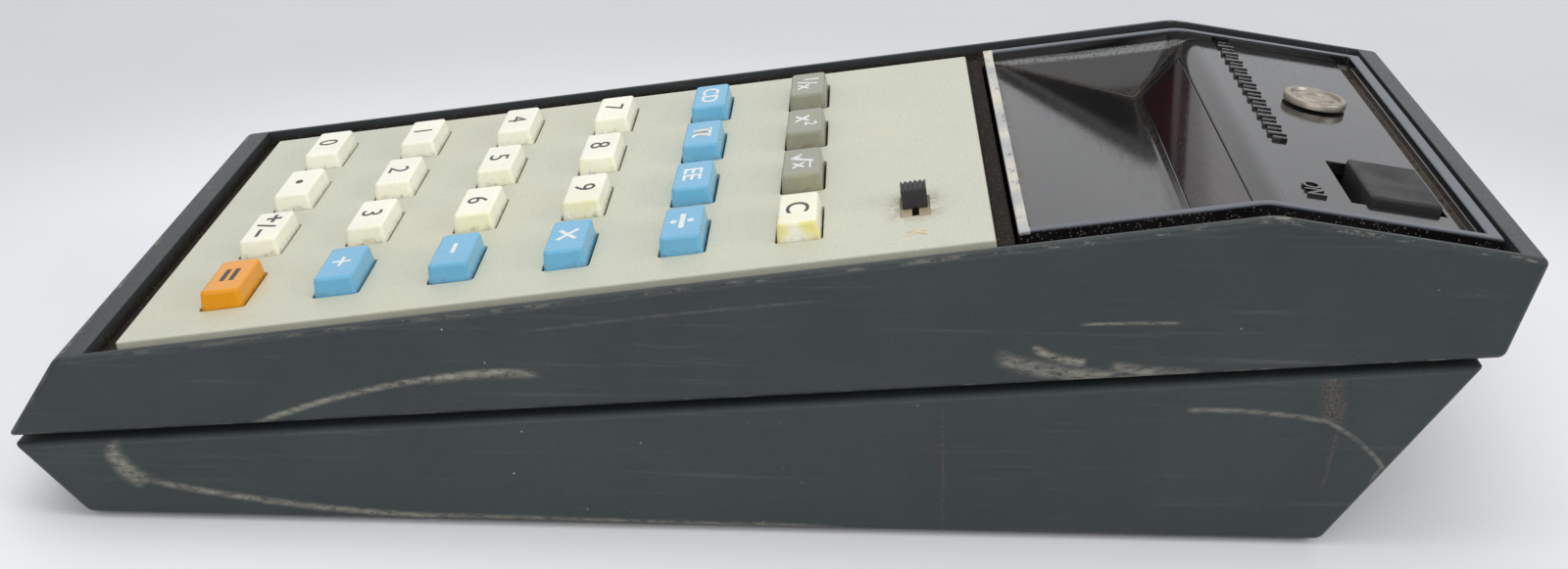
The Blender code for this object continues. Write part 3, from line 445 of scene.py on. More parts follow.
class Shader:
    """A Principled material, with short ways to build its node tree."""

    def __init__(self, name, roughness=0.4, metallic=0.0):
        self.material = bpy.data.materials.new(name)
        self.material.use_nodes = True
        self.tree = self.material.node_tree
        self.surface = self.tree.nodes["Principled BSDF"]
        self.set("Roughness", roughness)
        self.set("Metallic", metallic)
        self.place = self.node("ShaderNodeTexCoord").outputs["Object"]
        self.geometry = self.node("ShaderNodeNewGeometry")
        self.x, self.y, self.z = self.node("ShaderNodeSeparateXYZ", Vector=self.place).outputs

    def wire(self, value, socket):
        if isinstance(value, bpy.types.NodeSocket):
            self.tree.links.new(value, socket)
        elif socket.type == "RGBA":
            socket.default_value = (*value, 1.0) if len(value) == 3 else value
        else:
            socket.default_value = value

    def node(self, kind, settings=None, **inputs):
        made = self.tree.nodes.new(kind)
        for key, value in (settings or {}).items():
            setattr(made, key, value)
        for key, value in inputs.items():
            self.wire(value, made.inputs[key])
        return made

    def set(self, socket, value):
        self.wire(value, self.surface.inputs[socket])

    def maths(self, operation, *values):
        made = self.node("ShaderNodeMath", {"operation": operation})
        for value, socket in zip(values, made.inputs):
            self.wire(value, socket)
        return made.outputs[0]

    def chain(self, operation, values):
        """The operation on the first two values, then on its result and the next value."""
        result = values[0]
        for value in values[1:]:
            result = self.maths(operation, result, value)
        return result

    def add(self, first, second):
        return self.maths("ADD", first, second)

    def times(self, *values):
        return self.chain("MULTIPLY", values)

    def least(self, *values):
        return self.chain("MINIMUM", values)

    def most(self, *values):
        return self.chain("MAXIMUM", values)

    def dot(self, direction, origin=(0.0, 0.0, 0.0)):
        """Distance of the point from the origin, along the direction."""
        moved = self.node("ShaderNodeVectorMath", {"operation": "SUBTRACT"})
        self.wire(self.place, moved.inputs[0])
        self.wire(tuple(origin), moved.inputs[1])
        made = self.node("ShaderNodeVectorMath", {"operation": "DOT_PRODUCT"})
        self.wire(moved.outputs[0], made.inputs[0])
        self.wire(tuple(direction), made.inputs[1])
        return made.outputs["Value"]

    def remap(self, value, low, high, to_low=0.0, to_high=1.0):
        """Smooth step of value from low to high."""
        made = self.node("ShaderNodeMapRange", {"interpolation_type": "SMOOTHSTEP"})
        for socket, number in zip(made.inputs, (value, low, high, to_low, to_high)):
            self.wire(number, socket)
        return made.outputs[0]

    def stretched(self, stretch):
        made = self.node("ShaderNodeVectorMath", {"operation": "MULTIPLY"})
        self.wire(self.place, made.inputs[0])
        self.wire(stretch, made.inputs[1])
        return made.outputs[0]

    def noise(self, size, detail=3.0, roughness=0.55, stretch=None):
        """Noise whose patches are about size across."""
        made = self.node(
            "ShaderNodeTexNoise", Scale=1.0 / size, Detail=detail, Roughness=roughness,
            Vector=self.stretched(stretch) if stretch else self.place,
        )
        return made.outputs[0]

    def specks(self, spacing, share):
        """Small dots, about one in each spacing, that cover a share of it across."""
        made = self.node("ShaderNodeTexVoronoi", Scale=1.0 / spacing, Vector=self.place)
        return self.remap(made.outputs["Distance"], share, share * 0.6)

    def mix(self, share, first, second):
        made = self.node("ShaderNodeMix", {"data_type": "RGBA"})
        colours = [socket for socket in made.inputs if socket.type == "RGBA"]
        self.wire(share, made.inputs["Factor"])
        self.wire(first, colours[0])
        self.wire(second, colours[1])
        return next(socket for socket in made.outputs if socket.type == "RGBA")

    def crevice(self, distance, low=0.35, high=0.8):
        """1 in corners and grooves, 0 in the open."""
        made = self.node(
            "ShaderNodeAmbientOcclusion", {"samples": 6, "only_local": True}, Distance=distance
        )
        return self.remap(made.outputs["AO"], high, low)

    def bump(self, height, distance, strength=1.0):
        made = self.node("ShaderNodeBump", Height=height, Distance=distance, Strength=strength)
        self.set("Normal", made.outputs[0])

    def stroke(self, start, end, bulge, width, soft=0.12):
        """A worn line on a side wall from start to end, both (y, z), bowed by bulge."""
        along = Vector(end) - Vector(start)
        across = Vector((-along.y, along.x)).normalized()
        origin = (0.0, *start)
        u = self.dot((0.0, *(along / along.length_squared)), origin)
        v = self.dot((0.0, *across), origin)
        bow = self.times(4.0 * bulge, u, self.maths("SUBTRACT", 1.0, u))
        away = self.maths("ABSOLUTE", self.maths("SUBTRACT", v, bow))
        ends = self.least(u, self.maths("SUBTRACT", 1.0, u))
        return self.times(self.remap(away, width, 0.0), self.remap(ends, 0.0, soft))


# ---------------------------------------------------------------- materials

def plastic(name, colour, roughness, mottle=0.07, grain=0.35 * MM):
    """Moulded plastic: broad mottling, a fine grain in colour, roughness and relief."""
    s = Shader(name)
    broad = s.noise(14.0 * MM, detail=4.0)
    fine = s.noise(grain, detail=3.0, roughness=0.6)
    mixed = s.mix(s.remap(broad, 0.3, 0.7), scaled(colour, 1 - mottle), scaled(colour, 1 + mottle))
    base = s.mix(s.remap(fine, 0.35, 0.75, 0.0, 0.35), mixed, scaled(colour, 0.72))
    s.set("Base Color", base)
    s.set("Roughness", s.remap(s.add(s.times(broad, 0.4), s.times(fine, 0.6)), 0.3, 0.7,
                               roughness - 0.07, roughness + 0.09))
    s.bump(fine, 0.006 * MM, 0.6)
    return s, base, fine, broad


def hull_depth(s, planes):
    """Depth below the convex hull of a case half, and the sums that mark its edges."""
    depths = [s.maths("SUBTRACT", HALF_WIDTH, s.maths("ABSOLUTE", s.x))]
    for point, outward in planes:
        depths.append(s.dot(tuple(-outward), at_x(0.0, point)))
    edges = []
    for i, first in enumerate(depths[1:], 1):
        edges.append(s.add(depths[0], first))
        following = depths[i + 1] if i + 1 < len(depths) else depths[1]
        edges.append(s.add(first, following))
    return s.least(*depths), s.least(*edges)


def side_planes(corners):
    """(point, outward direction) of each side of a case half, in order."""
    planes = []
    for a, b in zip(corners, corners[1:] + corners[:1]):
        side = (b - a).normalized()
        planes.append((a, Vector((0.0, side.y, -side.x))))
    return planes


CASE_COLOUR = linear(54, 60, 61)
WORN_COLOUR = linear(150, 146, 132)
DUST_COLOUR = linear(120, 108, 92)
WELL_DIRT_AND_SHADE_COLOUR = linear(34, 29, 24)
RESIDUE_COLOUR = linear(96, 84, 72)


def case_material(name, corners, strokes, residues, grooved):
    """Slate grey satin shell with worn edges that also carry a painted highlight, drag lines, dust
    and, where grooved, a well painted brown-black as dirt and painted shade.
    """
    s, base, fine, broad = plastic(name, CASE_COLOUR, 0.36, mottle=0.09)
    depth, edge = hull_depth(s, side_planes(corners))

    # Faint lengthwise rub marks over the whole shell
    rubbed = s.noise(0.9 * MM, detail=5.0, roughness=0.7, stretch=(1.0, 0.03, 1.0))
    base = s.mix(s.remap(rubbed, 0.55, 0.8, 0.0, 0.16), base, scaled(WORN_COLOUR, 0.8))

    # Edges polished to a lighter grey, in broken dashes; the lighter edges are partly wear and
    # partly a painted highlight on the rounding
    dashes = s.noise(1.8 * MM, detail=6.0, roughness=0.8, stretch=(1.0, 0.4, 1.0))
    outside = s.remap(depth, 0.35 * MM, 0.1 * MM)
    worn = s.times(s.remap(edge, 0.57 * MM, 0.46 * MM), s.remap(dashes, 0.5, 0.6), outside, 0.65)
    base = s.mix(worn, base, WORN_COLOUR)

    # Drag lines on the right-hand wall, and their fainter echo on the left one
    streak = s.noise(0.55 * MM, detail=6.0, roughness=0.8, stretch=(1.0, 0.35, 1.0))
    broken = s.remap(streak, 0.32, 0.62)
    wall = s.remap(s.maths("ABSOLUTE", s.x), HALF_WIDTH - 1.0 * MM, HALF_WIDTH - 0.2 * MM)
    right = s.times(wall, s.remap(s.x, -HALF_WIDTH, HALF_WIDTH, 0.25, 1.0))
    for start, end, bulge, width, strength in strokes:
        mark = s.stroke(Vector(start) * MM, Vector(end) * MM, bulge * MM, width * MM)
        base = s.mix(s.times(mark, broken, right, strength), base, WORN_COLOUR)
    grit = s.remap(s.noise(0.28 * MM, detail=2.0), 0.42, 0.56)
    for start, end, width, strength in residues:
        mark = s.stroke(Vector(start) * MM, Vector(end) * MM, 0.0, width * MM, soft=0.05)
        only_right = s.remap(s.x, HALF_WIDTH - 1.0 * MM, HALF_WIDTH - 0.2 * MM)
        base = s.mix(s.times(mark, grit, only_right, strength), base, RESIDUE_COLOUR)

    # Pale specks of dust here and there
    specks = s.times(s.specks(2.6 * MM, 0.055), s.remap(broad, 0.45, 0.6))
    base = s.mix(s.times(specks, 0.6), base, linear(170, 168, 158))
    rough = s.remap(worn, 0.0, 0.5, 0.38, 0.6)
    if grooved:
        # Deep in the well the shell is painted brown-black with pale flecks: dust, and painted
        # shade in the recess
        deep = s.remap(depth, 0.45 * MM, 1.3 * MM)
        grime_and_shade = s.mix(s.remap(fine, 0.4, 0.7), WELL_DIRT_AND_SHADE_COLOUR, scaled(WELL_DIRT_AND_SHADE_COLOUR, 2.2))
        flecks = s.specks(0.55 * MM, 0.26)
        grime_and_shade = s.mix(s.times(flecks, 0.55), grime_and_shade, DUST_COLOUR)
        base = s.mix(deep, base, grime_and_shade)
        rough = s.most(rough, s.times(deep, 0.85))
    s.set("Base Color", base)
    s.set("Roughness", s.add(rough, s.remap(fine, 0.3, 0.7, -0.05, 0.07)))
    s.set("Specular IOR Level", 0.25)
    return s.material


# Worn lines as (start, end, bulge, width, strength), places (y, z) in mm on the wall
UPPER_STROKES = (
    ((-54.5, 11.0), (-24.0, 18.4), 1.5, 0.55, 0.75),
    ((-35.0, 17.0), (-22.5, 18.0), 0.4, 0.8, 0.5),
    ((24.0, 21.2), (42.0, 19.4), -1.1, 1.3, 0.65),
    ((36.0, 20.4), (46.0, 19.6), -0.2, 0.9, 0.45),
    ((28.0, 22.3), (34.0, 20.6), -0.4, 0.7, 0.85),
    ((32.5, 24.8), (43.5, 25.2), 0.1, 0.28, 0.6),
    ((-26.0, 22.5), (8.0, 27.0), 0.3, 0.3, 0.15),
)
LOWER_STROKES = (
    ((-69.0, 9.2), (-65.0, 4.2), -0.9, 1.5, 0.75),
    ((-66.5, 4.9), (-30.0, 1.0), -0.9, 0.6, 0.7),
    ((-36.0, 1.3), (10.0, 0.9), -0.1, 0.5, 0.5),
    ((44.0, 15.4), (59.5, 14.4), 0.5, 0.45, 0.5),
    ((58.0, 15.0), (65.8, 8.8), 0.7, 0.42, 0.42),
    ((65.6, 9.6), (64.2, 6.8), -0.3, 0.35, 0.35),
)
# Where a label was peeled off: (start, end, width, strength)
UPPER_RESIDUES = (((8.0, 14.2), (12.0, 14.4), 0.4, 0.3),)
LOWER_RESIDUES = (
    ((19.2, 15.5), (19.8, 0.6), 0.3, 0.45),
    ((59.2, 19.4), (59.6, 14.2), 1.9, 0.65),
    ((60.8, 17.0), (59.3, 6.6), 0.35, 0.5),
)


def make_bezel_material():
    """Polished black with fine scratches, dust in the corners and a rim worn pale at the front."""
    s = Shader("polished_black_worn", roughness=0.1)
    fine = s.noise(0.3 * MM, detail=4.0, roughness=0.7)
    broad = s.noise(9.0 * MM, detail=4.0)
    scratches = s.noise(0.5 * MM, detail=6.0, roughness=0.8, stretch=(0.12, 1.0, 1.0))
    base = s.mix(s.remap(broad, 0.3, 0.7), linear(17, 17, 18), linear(27, 27, 29))

    # Brown dust settles in the creases of the hopper and wherever a corner shelters it
    below_deck = s.dot(tuple(-DECK_UP), at_x(0.0, DECK_START))
    below = s.least(below_deck, s.dot(tuple(-ROOF_UP), at_x(0.0, RIDGE)))
    patches = s.remap(s.noise(0.9 * MM, detail=5.0, roughness=0.75), 0.36, 0.6)
    dust = s.times(s.crevice(3.0 * MM, 0.5, 0.93), patches, s.remap(below, 1.1 * MM, 1.6 * MM))
    base = s.mix(s.times(dust, 0.8), base, linear(98, 82, 62))
    sunk = s.remap(below, 0.4 * MM, 1.2 * MM)
    flecks = s.times(s.specks(1.1 * MM, 0.11), s.remap(broad, 0.4, 0.6), sunk, 0.6)
    base = s.mix(flecks, base, DUST_COLOUR)

    # A pale line is painted along the far wall where it meets the rim, a painted highlight
    inner = BEZEL_HALF - BEZEL_RIM
    beside = s.maths("ABSOLUTE", s.add(s.x, inner + 0.15 * MM))
    lip = s.times(s.remap(beside, 0.5 * MM, 0.2 * MM), s.remap(below, 1.2 * MM, 1.5 * MM),
                  s.remap(below, 2.6 * MM, 2.2 * MM), s.remap(fine, 0.35, 0.5))
    base = s.mix(s.times(lip, 0.7), base, linear(150, 152, 150))

    # Outer walls of the frame, deep in the well, hold specks of dust
    outer = s.remap(s.maths("ABSOLUTE", s.x), BEZEL_HALF - 0.25 * MM, BEZEL_HALF - 0.05 * MM)
    gritty = s.times(outer, s.specks(0.4 * MM, 0.33), s.remap(fine, 0.38, 0.52), 0.7)
    base = s.mix(gritty, base, DUST_COLOUR)

    # The top of the rim is painted a lighter blue-grey all round, a painted highlight
    rim_top_highlight = s.times(s.remap(below, 0.3 * MM, 0.12 * MM), s.remap(fine, 0.2, 0.4, 0.75, 1.0))
    base = s.mix(s.times(rim_top_highlight, 0.75), base, linear(84, 91, 100))

    # The front rim is rubbed through to a pale layer, streaked with what is left of the black
    behind = s.dot(tuple(DECK_ALONG), at_x(0.0, deck(BEZEL_START, 0.0)))
    front_rim = s.times(
        s.remap(behind, 1.32 * MM, 1.18 * MM), s.remap(behind, 0.02 * MM, 0.16 * MM),
        s.remap(below, 0.5 * MM, 0.15 * MM),
    )
    worn = s.noise(1.6 * MM, detail=6.0, roughness=0.75, stretch=(0.4, 1.0, 1.0))
    rub = s.remap(worn, 0.34, 0.44)
    tone = s.mix(s.remap(broad, 0.35, 0.65), linear(176, 178, 180), linear(222, 216, 196))
    base = s.mix(s.times(front_rim, rub, 0.92), base, tone)
    s.set("Base Color", base)
    rough = s.remap(s.add(s.times(scratches, 0.6), s.times(fine, 0.4)), 0.35, 0.75, 0.07, 0.22)
    rough = s.most(rough, s.times(dust, 0.85), s.times(s.crevice(1.2 * MM, 0.3, 0.7), sunk, 0.6))
    s.set("Roughness", s.most(rough, s.times(front_rim, rub, 0.55), s.times(rim_top_highlight, 0.3)))
    s.bump(s.add(scratches, s.times(fine, 0.4)), 0.004 * MM, 0.35)
    return s.material


def make_plate_material():
    """Cream satin plate, with brown dirt and painted shade round the keys, brown beside the slide
    switch and painted shade in its track.
    """
    s, base, fine, broad = plastic("cream_satin", linear(203, 204, 185), 0.42, mottle=0.035)
    warm = s.noise(30.0 * MM, detail=3.0)
    base = s.mix(s.remap(warm, 0.4, 0.7, 0.0, 0.35), base, linear(205, 202, 172))
    # Brown dirt laid by an occlusion mask round the keys, so also painted shade in the crevices
    patches = s.remap(s.noise(1.1 * MM, detail=5.0), 0.4, 0.7)
    grime_and_shade = s.times(s.crevice(1.2 * MM, 0.35, 0.8), patches)
    base = s.mix(s.times(grime_and_shade, 0.45), base, linear(128, 112, 84))
    specks = s.times(s.specks(2.4 * MM, 0.06), s.remap(broad, 0.42, 0.6))
    base = s.mix(s.times(specks, 0.6), base, linear(110, 92, 66))

    # Fingers have browned the plate round the slide switch, and the floor of its sunk track is
    # painted a darker yellowish cream, a painted shade
    place = centre_of("constant_switch_knob", DECK)
    middle = DECK @ Vector((place.x + CONSTANT_TRAVEL / 2, place.y, 0.0))
    across = s.maths("ABSOLUTE", s.dot(tuple(ACROSS), middle))
    beside = s.maths("ABSOLUTE", s.dot(tuple(DECK_ALONG), middle))
    smear = s.times(s.remap(across, 6.0 * MM, 2.0 * MM), s.remap(beside, 4.0 * MM, 1.4 * MM))
    patchy = s.remap(s.noise(1.4 * MM, detail=5.0, roughness=0.7), 0.38, 0.62)
    base = s.mix(s.times(smear, patchy, 0.7), base, linear(146, 124, 92))
    top = at_x(0.0, deck(0.0, PLATE_HIGH.z))
    sunk = s.remap(s.dot(tuple(-DECK_UP), top), 0.1 * MM, 0.3 * MM)
    track = s.times(sunk, s.remap(across, 3.8 * MM, 3.4 * MM), s.remap(beside, 2.0 * MM, 1.7 * MM))
    base = s.mix(s.times(track, 0.8), base, linear(176, 160, 128))
    s.set("Base Color", base)
    return s.material


def make_key_material(name, colour, yellowing):
    """Glossy moulded key, dulled on top, with dirt low on its sides and painted shade below the
    plate.
    """
    s, base, fine, broad = plastic(name, colour, 0.24, mottle=0.045, grain=0.22 * MM)
    aged = s.times(s.remap(s.y, -60.0 * MM, 10.0 * MM, 0.1, 1.0),
                   s.remap(s.x, -14.0 * MM, 12.0 * MM, 0.15, 1.0),
                   s.remap(s.noise(5.0 * MM, detail=3.0), 0.35, 0.6))
    facing = s.node("ShaderNodeSeparateXYZ", Vector=s.geometry.outputs["Normal"]).outputs["X"]
    side = s.remap(facing, 0.15, 0.6, 0.25, 1.0)
    base = s.mix(s.times(aged, side, yellowing), base, linear(232, 222, 128))
    low = s.dot(tuple(DECK_UP), at_x(0.0, deck(0.0, PLATE_HIGH.z)))
    near_plate = s.remap(low, 0.9 * MM, 0.0)
    patchy = s.remap(s.noise(0.8 * MM, detail=5.0, roughness=0.7), 0.45, 0.7)
    base = s.mix(s.times(near_plate, patchy, 0.5), base, linear(112, 92, 62))
    # Below the plate top the key is painted near black, a painted shade in the gap round it
    under = s.remap(low, 0.0, -0.5 * MM)
    base = s.mix(s.times(under, 0.8), base, linear(40, 34, 28))
    s.set("Base Color", base)
    s.set("Specular IOR Level", 0.38)
    return s.material


def make_ink(name, colour):
    """Second-shot plastic of a key legend, slightly chipped."""
    s = Shader(name, roughness=0.4)
    fine = s.noise(0.25 * MM, detail=4.0)
    chipped = s.remap(fine, 0.35, 0.75)
    s.set("Base Color", s.mix(chipped, scaled(colour, 0.85), scaled(colour, 1.15)))
    s.set("Roughness", s.remap(fine, 0.3, 0.7, 0.3, 0.5))
    s.bump(fine, 0.004 * MM, 0.4)
    return s.material


def make_textured_black(name, colour=(38, 38, 40), grain=0.18 * MM):
    """Matt black with a spark-eroded texture, greyed on the high spots by dust."""
    s = Shader(name, roughness=0.6)
    fine = s.noise(grain, detail=4.0, roughness=0.7)
    broad = s.noise(4.0 * MM, detail=3.0)
    base = s.mix(s.remap(fine, 0.4, 0.7), linear(*colour), scaled(linear(*colour), 2.0))
    dusty = s.times(s.crevice(0.8 * MM), s.remap(fine, 0.4, 0.6), 0.4)
    s.set("Base Color", s.mix(dusty, base, scaled(DUST_COLOUR, 0.7)))
    s.set("Roughness", s.remap(broad, 0.3, 0.7, 0.5, 0.68))
    s.bump(fine, 0.03 * MM, 0.7)
    return s.material


def make_window_material():
    """Dark red filter that shows a little of what lies behind it."""
    s = Shader("red_filter", roughness=0.05)
    broad = s.noise(7.0 * MM, detail=4.0)
    fine = s.noise(0.4 * MM, detail=4.0, roughness=0.7)
    base = s.mix(s.remap(broad, 0.3, 0.7), linear(30, 8, 12), linear(44, 12, 18))
    dusty = s.times(s.remap(fine, 0.5, 0.7), s.remap(broad, 0.4, 0.6), 0.3)
    s.set("Base Color", s.mix(dusty, base, linear(74, 56, 48)))
    s.set("Roughness", s.remap(fine, 0.35, 0.75, 0.03, 0.14))
    s.set("Transmission Weight", s.remap(broad, 0.2, 0.8, 0.22, 0.12))
    s.bump(fine, 0.002 * MM, 0.3)
    return s.material


def make_metal(name, colour, roughness, tarnish=(70, 62, 50)):
    s = Shader(name, roughness=roughness, metallic=1.0)
    fine = s.noise(0.15 * MM, detail=4.0)
    broad = s.noise(2.0 * MM, detail=4.0)
    dirt = s.times(s.crevice(0.5 * MM), s.remap(broad, 0.3, 0.6), 0.8)
    base = s.mix(s.remap(broad, 0.35, 0.7), scaled(colour, 0.85), colour)
    s.set("Base Color", s.mix(dirt, base, linear(*tarnish)))
    s.set("Metallic", s.remap(dirt, 0.0, 0.8, 1.0, 0.2))
    s.set("Roughness", s.remap(fine, 0.3, 0.7, roughness - 0.08, roughness + 0.12))
    s.bump(fine, 0.006 * MM, 0.5)
    return s.material


def make_board_material():
    """Green board with a lattice of copper tracks under the lacquer."""
    s = Shader("board_green_tracks", roughness=0.4)
    fine = s.noise(0.3 * MM, detail=3.0)
    lanes = s.node("ShaderNodeTexVoronoi", {"distance": "CHEBYCHEV"}, Scale=1.0 / (2.5 * MM),
                   Vector=s.place, Randomness=0.35).outputs["Distance"]
    tracks = s.remap(lanes, 0.34, 0.3)
    base = s.mix(tracks, linear(30, 84, 48), linear(70, 122, 60))
    s.set("Base Color", s.mix(s.remap(fine, 0.4, 0.7, 0.0, 0.3), base, linear(24, 60, 36)))
    s.set("Roughness", s.remap(fine, 0.3, 0.7, 0.32, 0.5))
    s.bump(tracks, 0.04 * MM, 0.5)
    return s.material


def make_plain(name, colour, roughness, grain=0.3 * MM):
    return plastic(name, linear(*colour), roughness, mottle=0.12, grain=grain)[0].material


SHELL_UPPER = case_material("slate_grey_upper", UPPER, UPPER_STROKES, UPPER_RESIDUES, True)
SHELL_LOWER = case_material("slate_grey_lower", LOWER, LOWER_STROKES, LOWER_RESIDUES, False)
BLACK_GLOSS = make_bezel_material()
CREAM = make_plate_material()
KEY_COLOURS = {
    "key_white": make_key_material("key_ivory", linear(249, 247, 230), 0.85),
    "key_blue": make_key_material("key_sky_blue", linear(110, 180, 216), 0.03),
    "key_grey": make_key_material("key_warm_grey", linear(146, 146, 128), 0.12),
    "key_orange": make_key_material("key_amber", linear(236, 154, 0), 0.0),
}
INK_BLACK = make_ink("legend_black", linear(38, 40, 34))
INK_WHITE = make_ink("legend_white", linear(232, 236, 232))
KNOB_BLACK = make_textured_black("knob_texture")
SLAB_BLACK = make_textured_black("slab_texture", (26, 26, 27), 0.22 * MM)
RUBBER = make_textured_black("foot_rubber_worn", (30, 30, 30), 0.4 * MM)
RED = make_window_material()
BADGE_METAL = make_metal("badge_metal_worn", linear(178, 169, 156), 0.42, (52, 44, 34))
STEEL = make_metal("screw_steel_worn", linear(176, 176, 174), 0.34)
BOARD = make_board_material()
MARK_BROWN = make_plain("worn_letter", (214, 198, 168), 0.5)


# ---------------------------------------------------------------- case

def screw_axes():
    return [foot_circle(f"case_screw_{number}")[:2] for number in range(1, 5)]


def rods(places, radius, foot, top, segments=32):
    """One upright cylinder at each (x, y), from the height foot to top(y), or to a fixed top."""
    meshes = []
    for x, y in places:
        end = top(y) if callable(top) else top
        place = Matrix.Translation((x, y, foot))
        meshes.append(disc_mesh(radius, end - foot, segments, frame_matrix=place))
    return merged(meshes)


def well_outline(depth, front, end):
    floor = [deck(front, -depth), *reversed(ridge_arc(depth)), roof(end, -depth)]
    return [*floor, roof(end, WELL_HEADROOM), deck(front, WELL_HEADROOM)]


def inset(corners, depths):
    """Moves each side of the outline inwards by its own depth."""
    sides = []
    for (a, b), depth in zip(zip(corners, corners[1:] + corners[:1]), depths):
        side = (b - a).normalized()
        shift = Vector((-side.y, side.x)) * depth
        sides.append((a + shift, b + shift))
    return [meet(sides[i - 1], sides[i]) for i in range(len(sides))]


def make_upper_case():
    outline = [*UPPER[:3], *ridge_arc(0.0), UPPER[4]]
    case = Solid(prism_mesh(outline, HALF_WIDTH)).bevel(EDGE_RADIUS, segments=6)
    top = WELL_DEPTH + WALL
    cavity = inset(UPPER, [-6.0 * MM, 2.2 * MM, top, top, WALL])
    case.boolean(prism_mesh(cavity, HALF_WIDTH - WALL))

    def boss_top(y):
        return deck((y - DECK_START.x) / DECK_ALONG.y, -top).y + 0.5 * MM

    case.boolean(rods(screw_axes(), BOSS_RADIUS, BOSS_FOOT, boss_top), "UNION")
    case.boolean(rods(screw_axes(), PILOT_RADIUS, BOSS_FOOT - MM, BOSS_FOOT + PILOT_DEPTH))

    well = well_outline(WELL_DEPTH, FRONT_RIM, ROOF_LENGTH - REAR_RIM)
    case.boolean(prism_mesh(well, HALF_WIDTH - SIDE_RIM))
    case.boolean(box_mesh(KEY_OPENING, frame_matrix=on_deck(0.0, KEY_OPENING_S, -5.0 * MM)))
    display = well_outline(DISPLAY_OPENING_DEPTH, BEZEL_START - GAP, BEZEL_END + GAP)
    case.boolean(prism_mesh(display, BEZEL_HALF + GAP))
    low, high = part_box("charging_jack")
    jack = (low + high) / 2
    behind = Matrix.Translation((jack.x, JACK_HOLE_END, jack.z))
    inwards = behind @ Matrix.Rotation(math.radians(90), 4, "X")
    case.boolean(disc_mesh(JACK_HOLE_RADIUS, JACK_HOLE_DEPTH, 48, frame_matrix=inwards))
    case.tidy().bevel(0.14 * MM, segments=2, angle=50.0)
    piece("upper_case_shell", case.mesh(), SHELL_UPPER, CASE, "upper_case")


def parting_z(y):
    tip, rear = UPPER[0], UPPER[1]
    return tip.y + (rear.y - tip.y) * (y - tip.x) / (rear.x - tip.x)


def make_lower_case():
    case = Solid(prism_mesh(LOWER, HALF_WIDTH - 0.05 * MM)).bevel(EDGE_RADIUS, segments=6)
    lip = []
    for y, rise in ((LIP_FRONT_Y, -LIP_ROOT), (LIP_REAR_Y, -LIP_ROOT),
                    (LIP_REAR_Y, LIP_HEIGHT), (LIP_FRONT_Y, LIP_HEIGHT)):
        lip.append(Vector((y, parting_z(y) + rise)))
    case.boolean(prism_mesh(lip, LIP_HALF_WIDTH), "UNION")
    inner = HALF_WIDTH - 3.5 * MM
    case.boolean(prism_mesh(inset(LOWER, [WALL, 2 * WALL, 0.0, 2 * WALL]), inner))
    case.boolean(prism_mesh(inset(lip, [-MM, LIP_WALL, -LIP_ROOT, LIP_WALL]), inner))
    case.boolean(rods(screw_axes(), POST_RADIUS, 1.6 * MM, 8.2 * MM), "UNION")
    case.boolean(rods(screw_axes(), SCREW_HEAD_RADIUS, -0.6 * MM, 3.4 * MM))
    case.boolean(rods(screw_axes(), SCREW_HOLE_RADIUS, -MM, 11.0 * MM))
    pockets = []
    for number in range(1, 5):
        x, y, radius, _ = foot_circle(f"foot_{number}")
        pockets.append(rods([(x, y)], radius + GAP, POCKET_DEPTH - 3.0 * MM, POCKET_DEPTH, 48))
    case.boolean(merged(pockets)).tidy().bevel(0.14 * MM, segments=2, angle=50.0)
    piece("lower_case_shell", case.mesh(), SHELL_LOWER, CASE, "lower_case")


def make_feet():
    """Rubber buttons with a rounded tread edge and a shallow dish."""
    for number in range(1, 5):
        x, y, radius, (bottom, top) = foot_circle(f"foot_{number}")
        height = top - bottom
        tread = 0.14 * radius
        profile = [(0.0, 0.12 * MM), (0.45 * radius, 0.1 * MM), (0.62 * radius, 0.0),
                   (radius - tread, 0.0)]
        for step in range(1, 5):
            angle = math.radians(90) * step / 4
            profile.append((radius - tread * (1 - math.sin(angle)), tread * (1 - math.cos(angle))))
        profile += [(radius, height - 0.1 * MM), (radius - 0.1 * MM, height), (0.0, height)]
        pad = turned_mesh(profile, Matrix.Translation((x, y, bottom)))
        piece(f"foot_pad_{number}", pad, RUBBER, CASE, f"foot_{number}")


# ---------------------------------------------------------------- keys

KEY_GAP = 0.14 * MM
CAP_TAPER = 0.3 * MM
CAP_ROOT = 1.0 * MM
CAP_CORNER, CAP_RIM = 0.5 * MM, 0.38 * MM
FLANGE_RIM, FLANGE_HEIGHT = 1.4 * MM, 0.8 * MM
SKIRT_SHRINK = 0.2 * MM
KNOB_TOP = Vector((3.0 * MM, 2.8 * MM))
STEM_SLOT, STEM_SLOT_SPARE = 0.75 * MM, 1.1 * MM
TRACK_SPARE, TRACK_DEPTH = (0.6 * MM, 0.4 * MM), 0.35 * MM
THROUGH = 6.0 * MM


def upright(edge):
    return abs((edge.verts[0].co - edge.verts[1].co).z) > MM


def plate_top_at(low, high):
    """Frame on top of the plate, in the middle between the two corners."""
    return on_deck((low.x + high.x) / 2, (low.y + high.y) / 2, PLATE_HIGH.z)


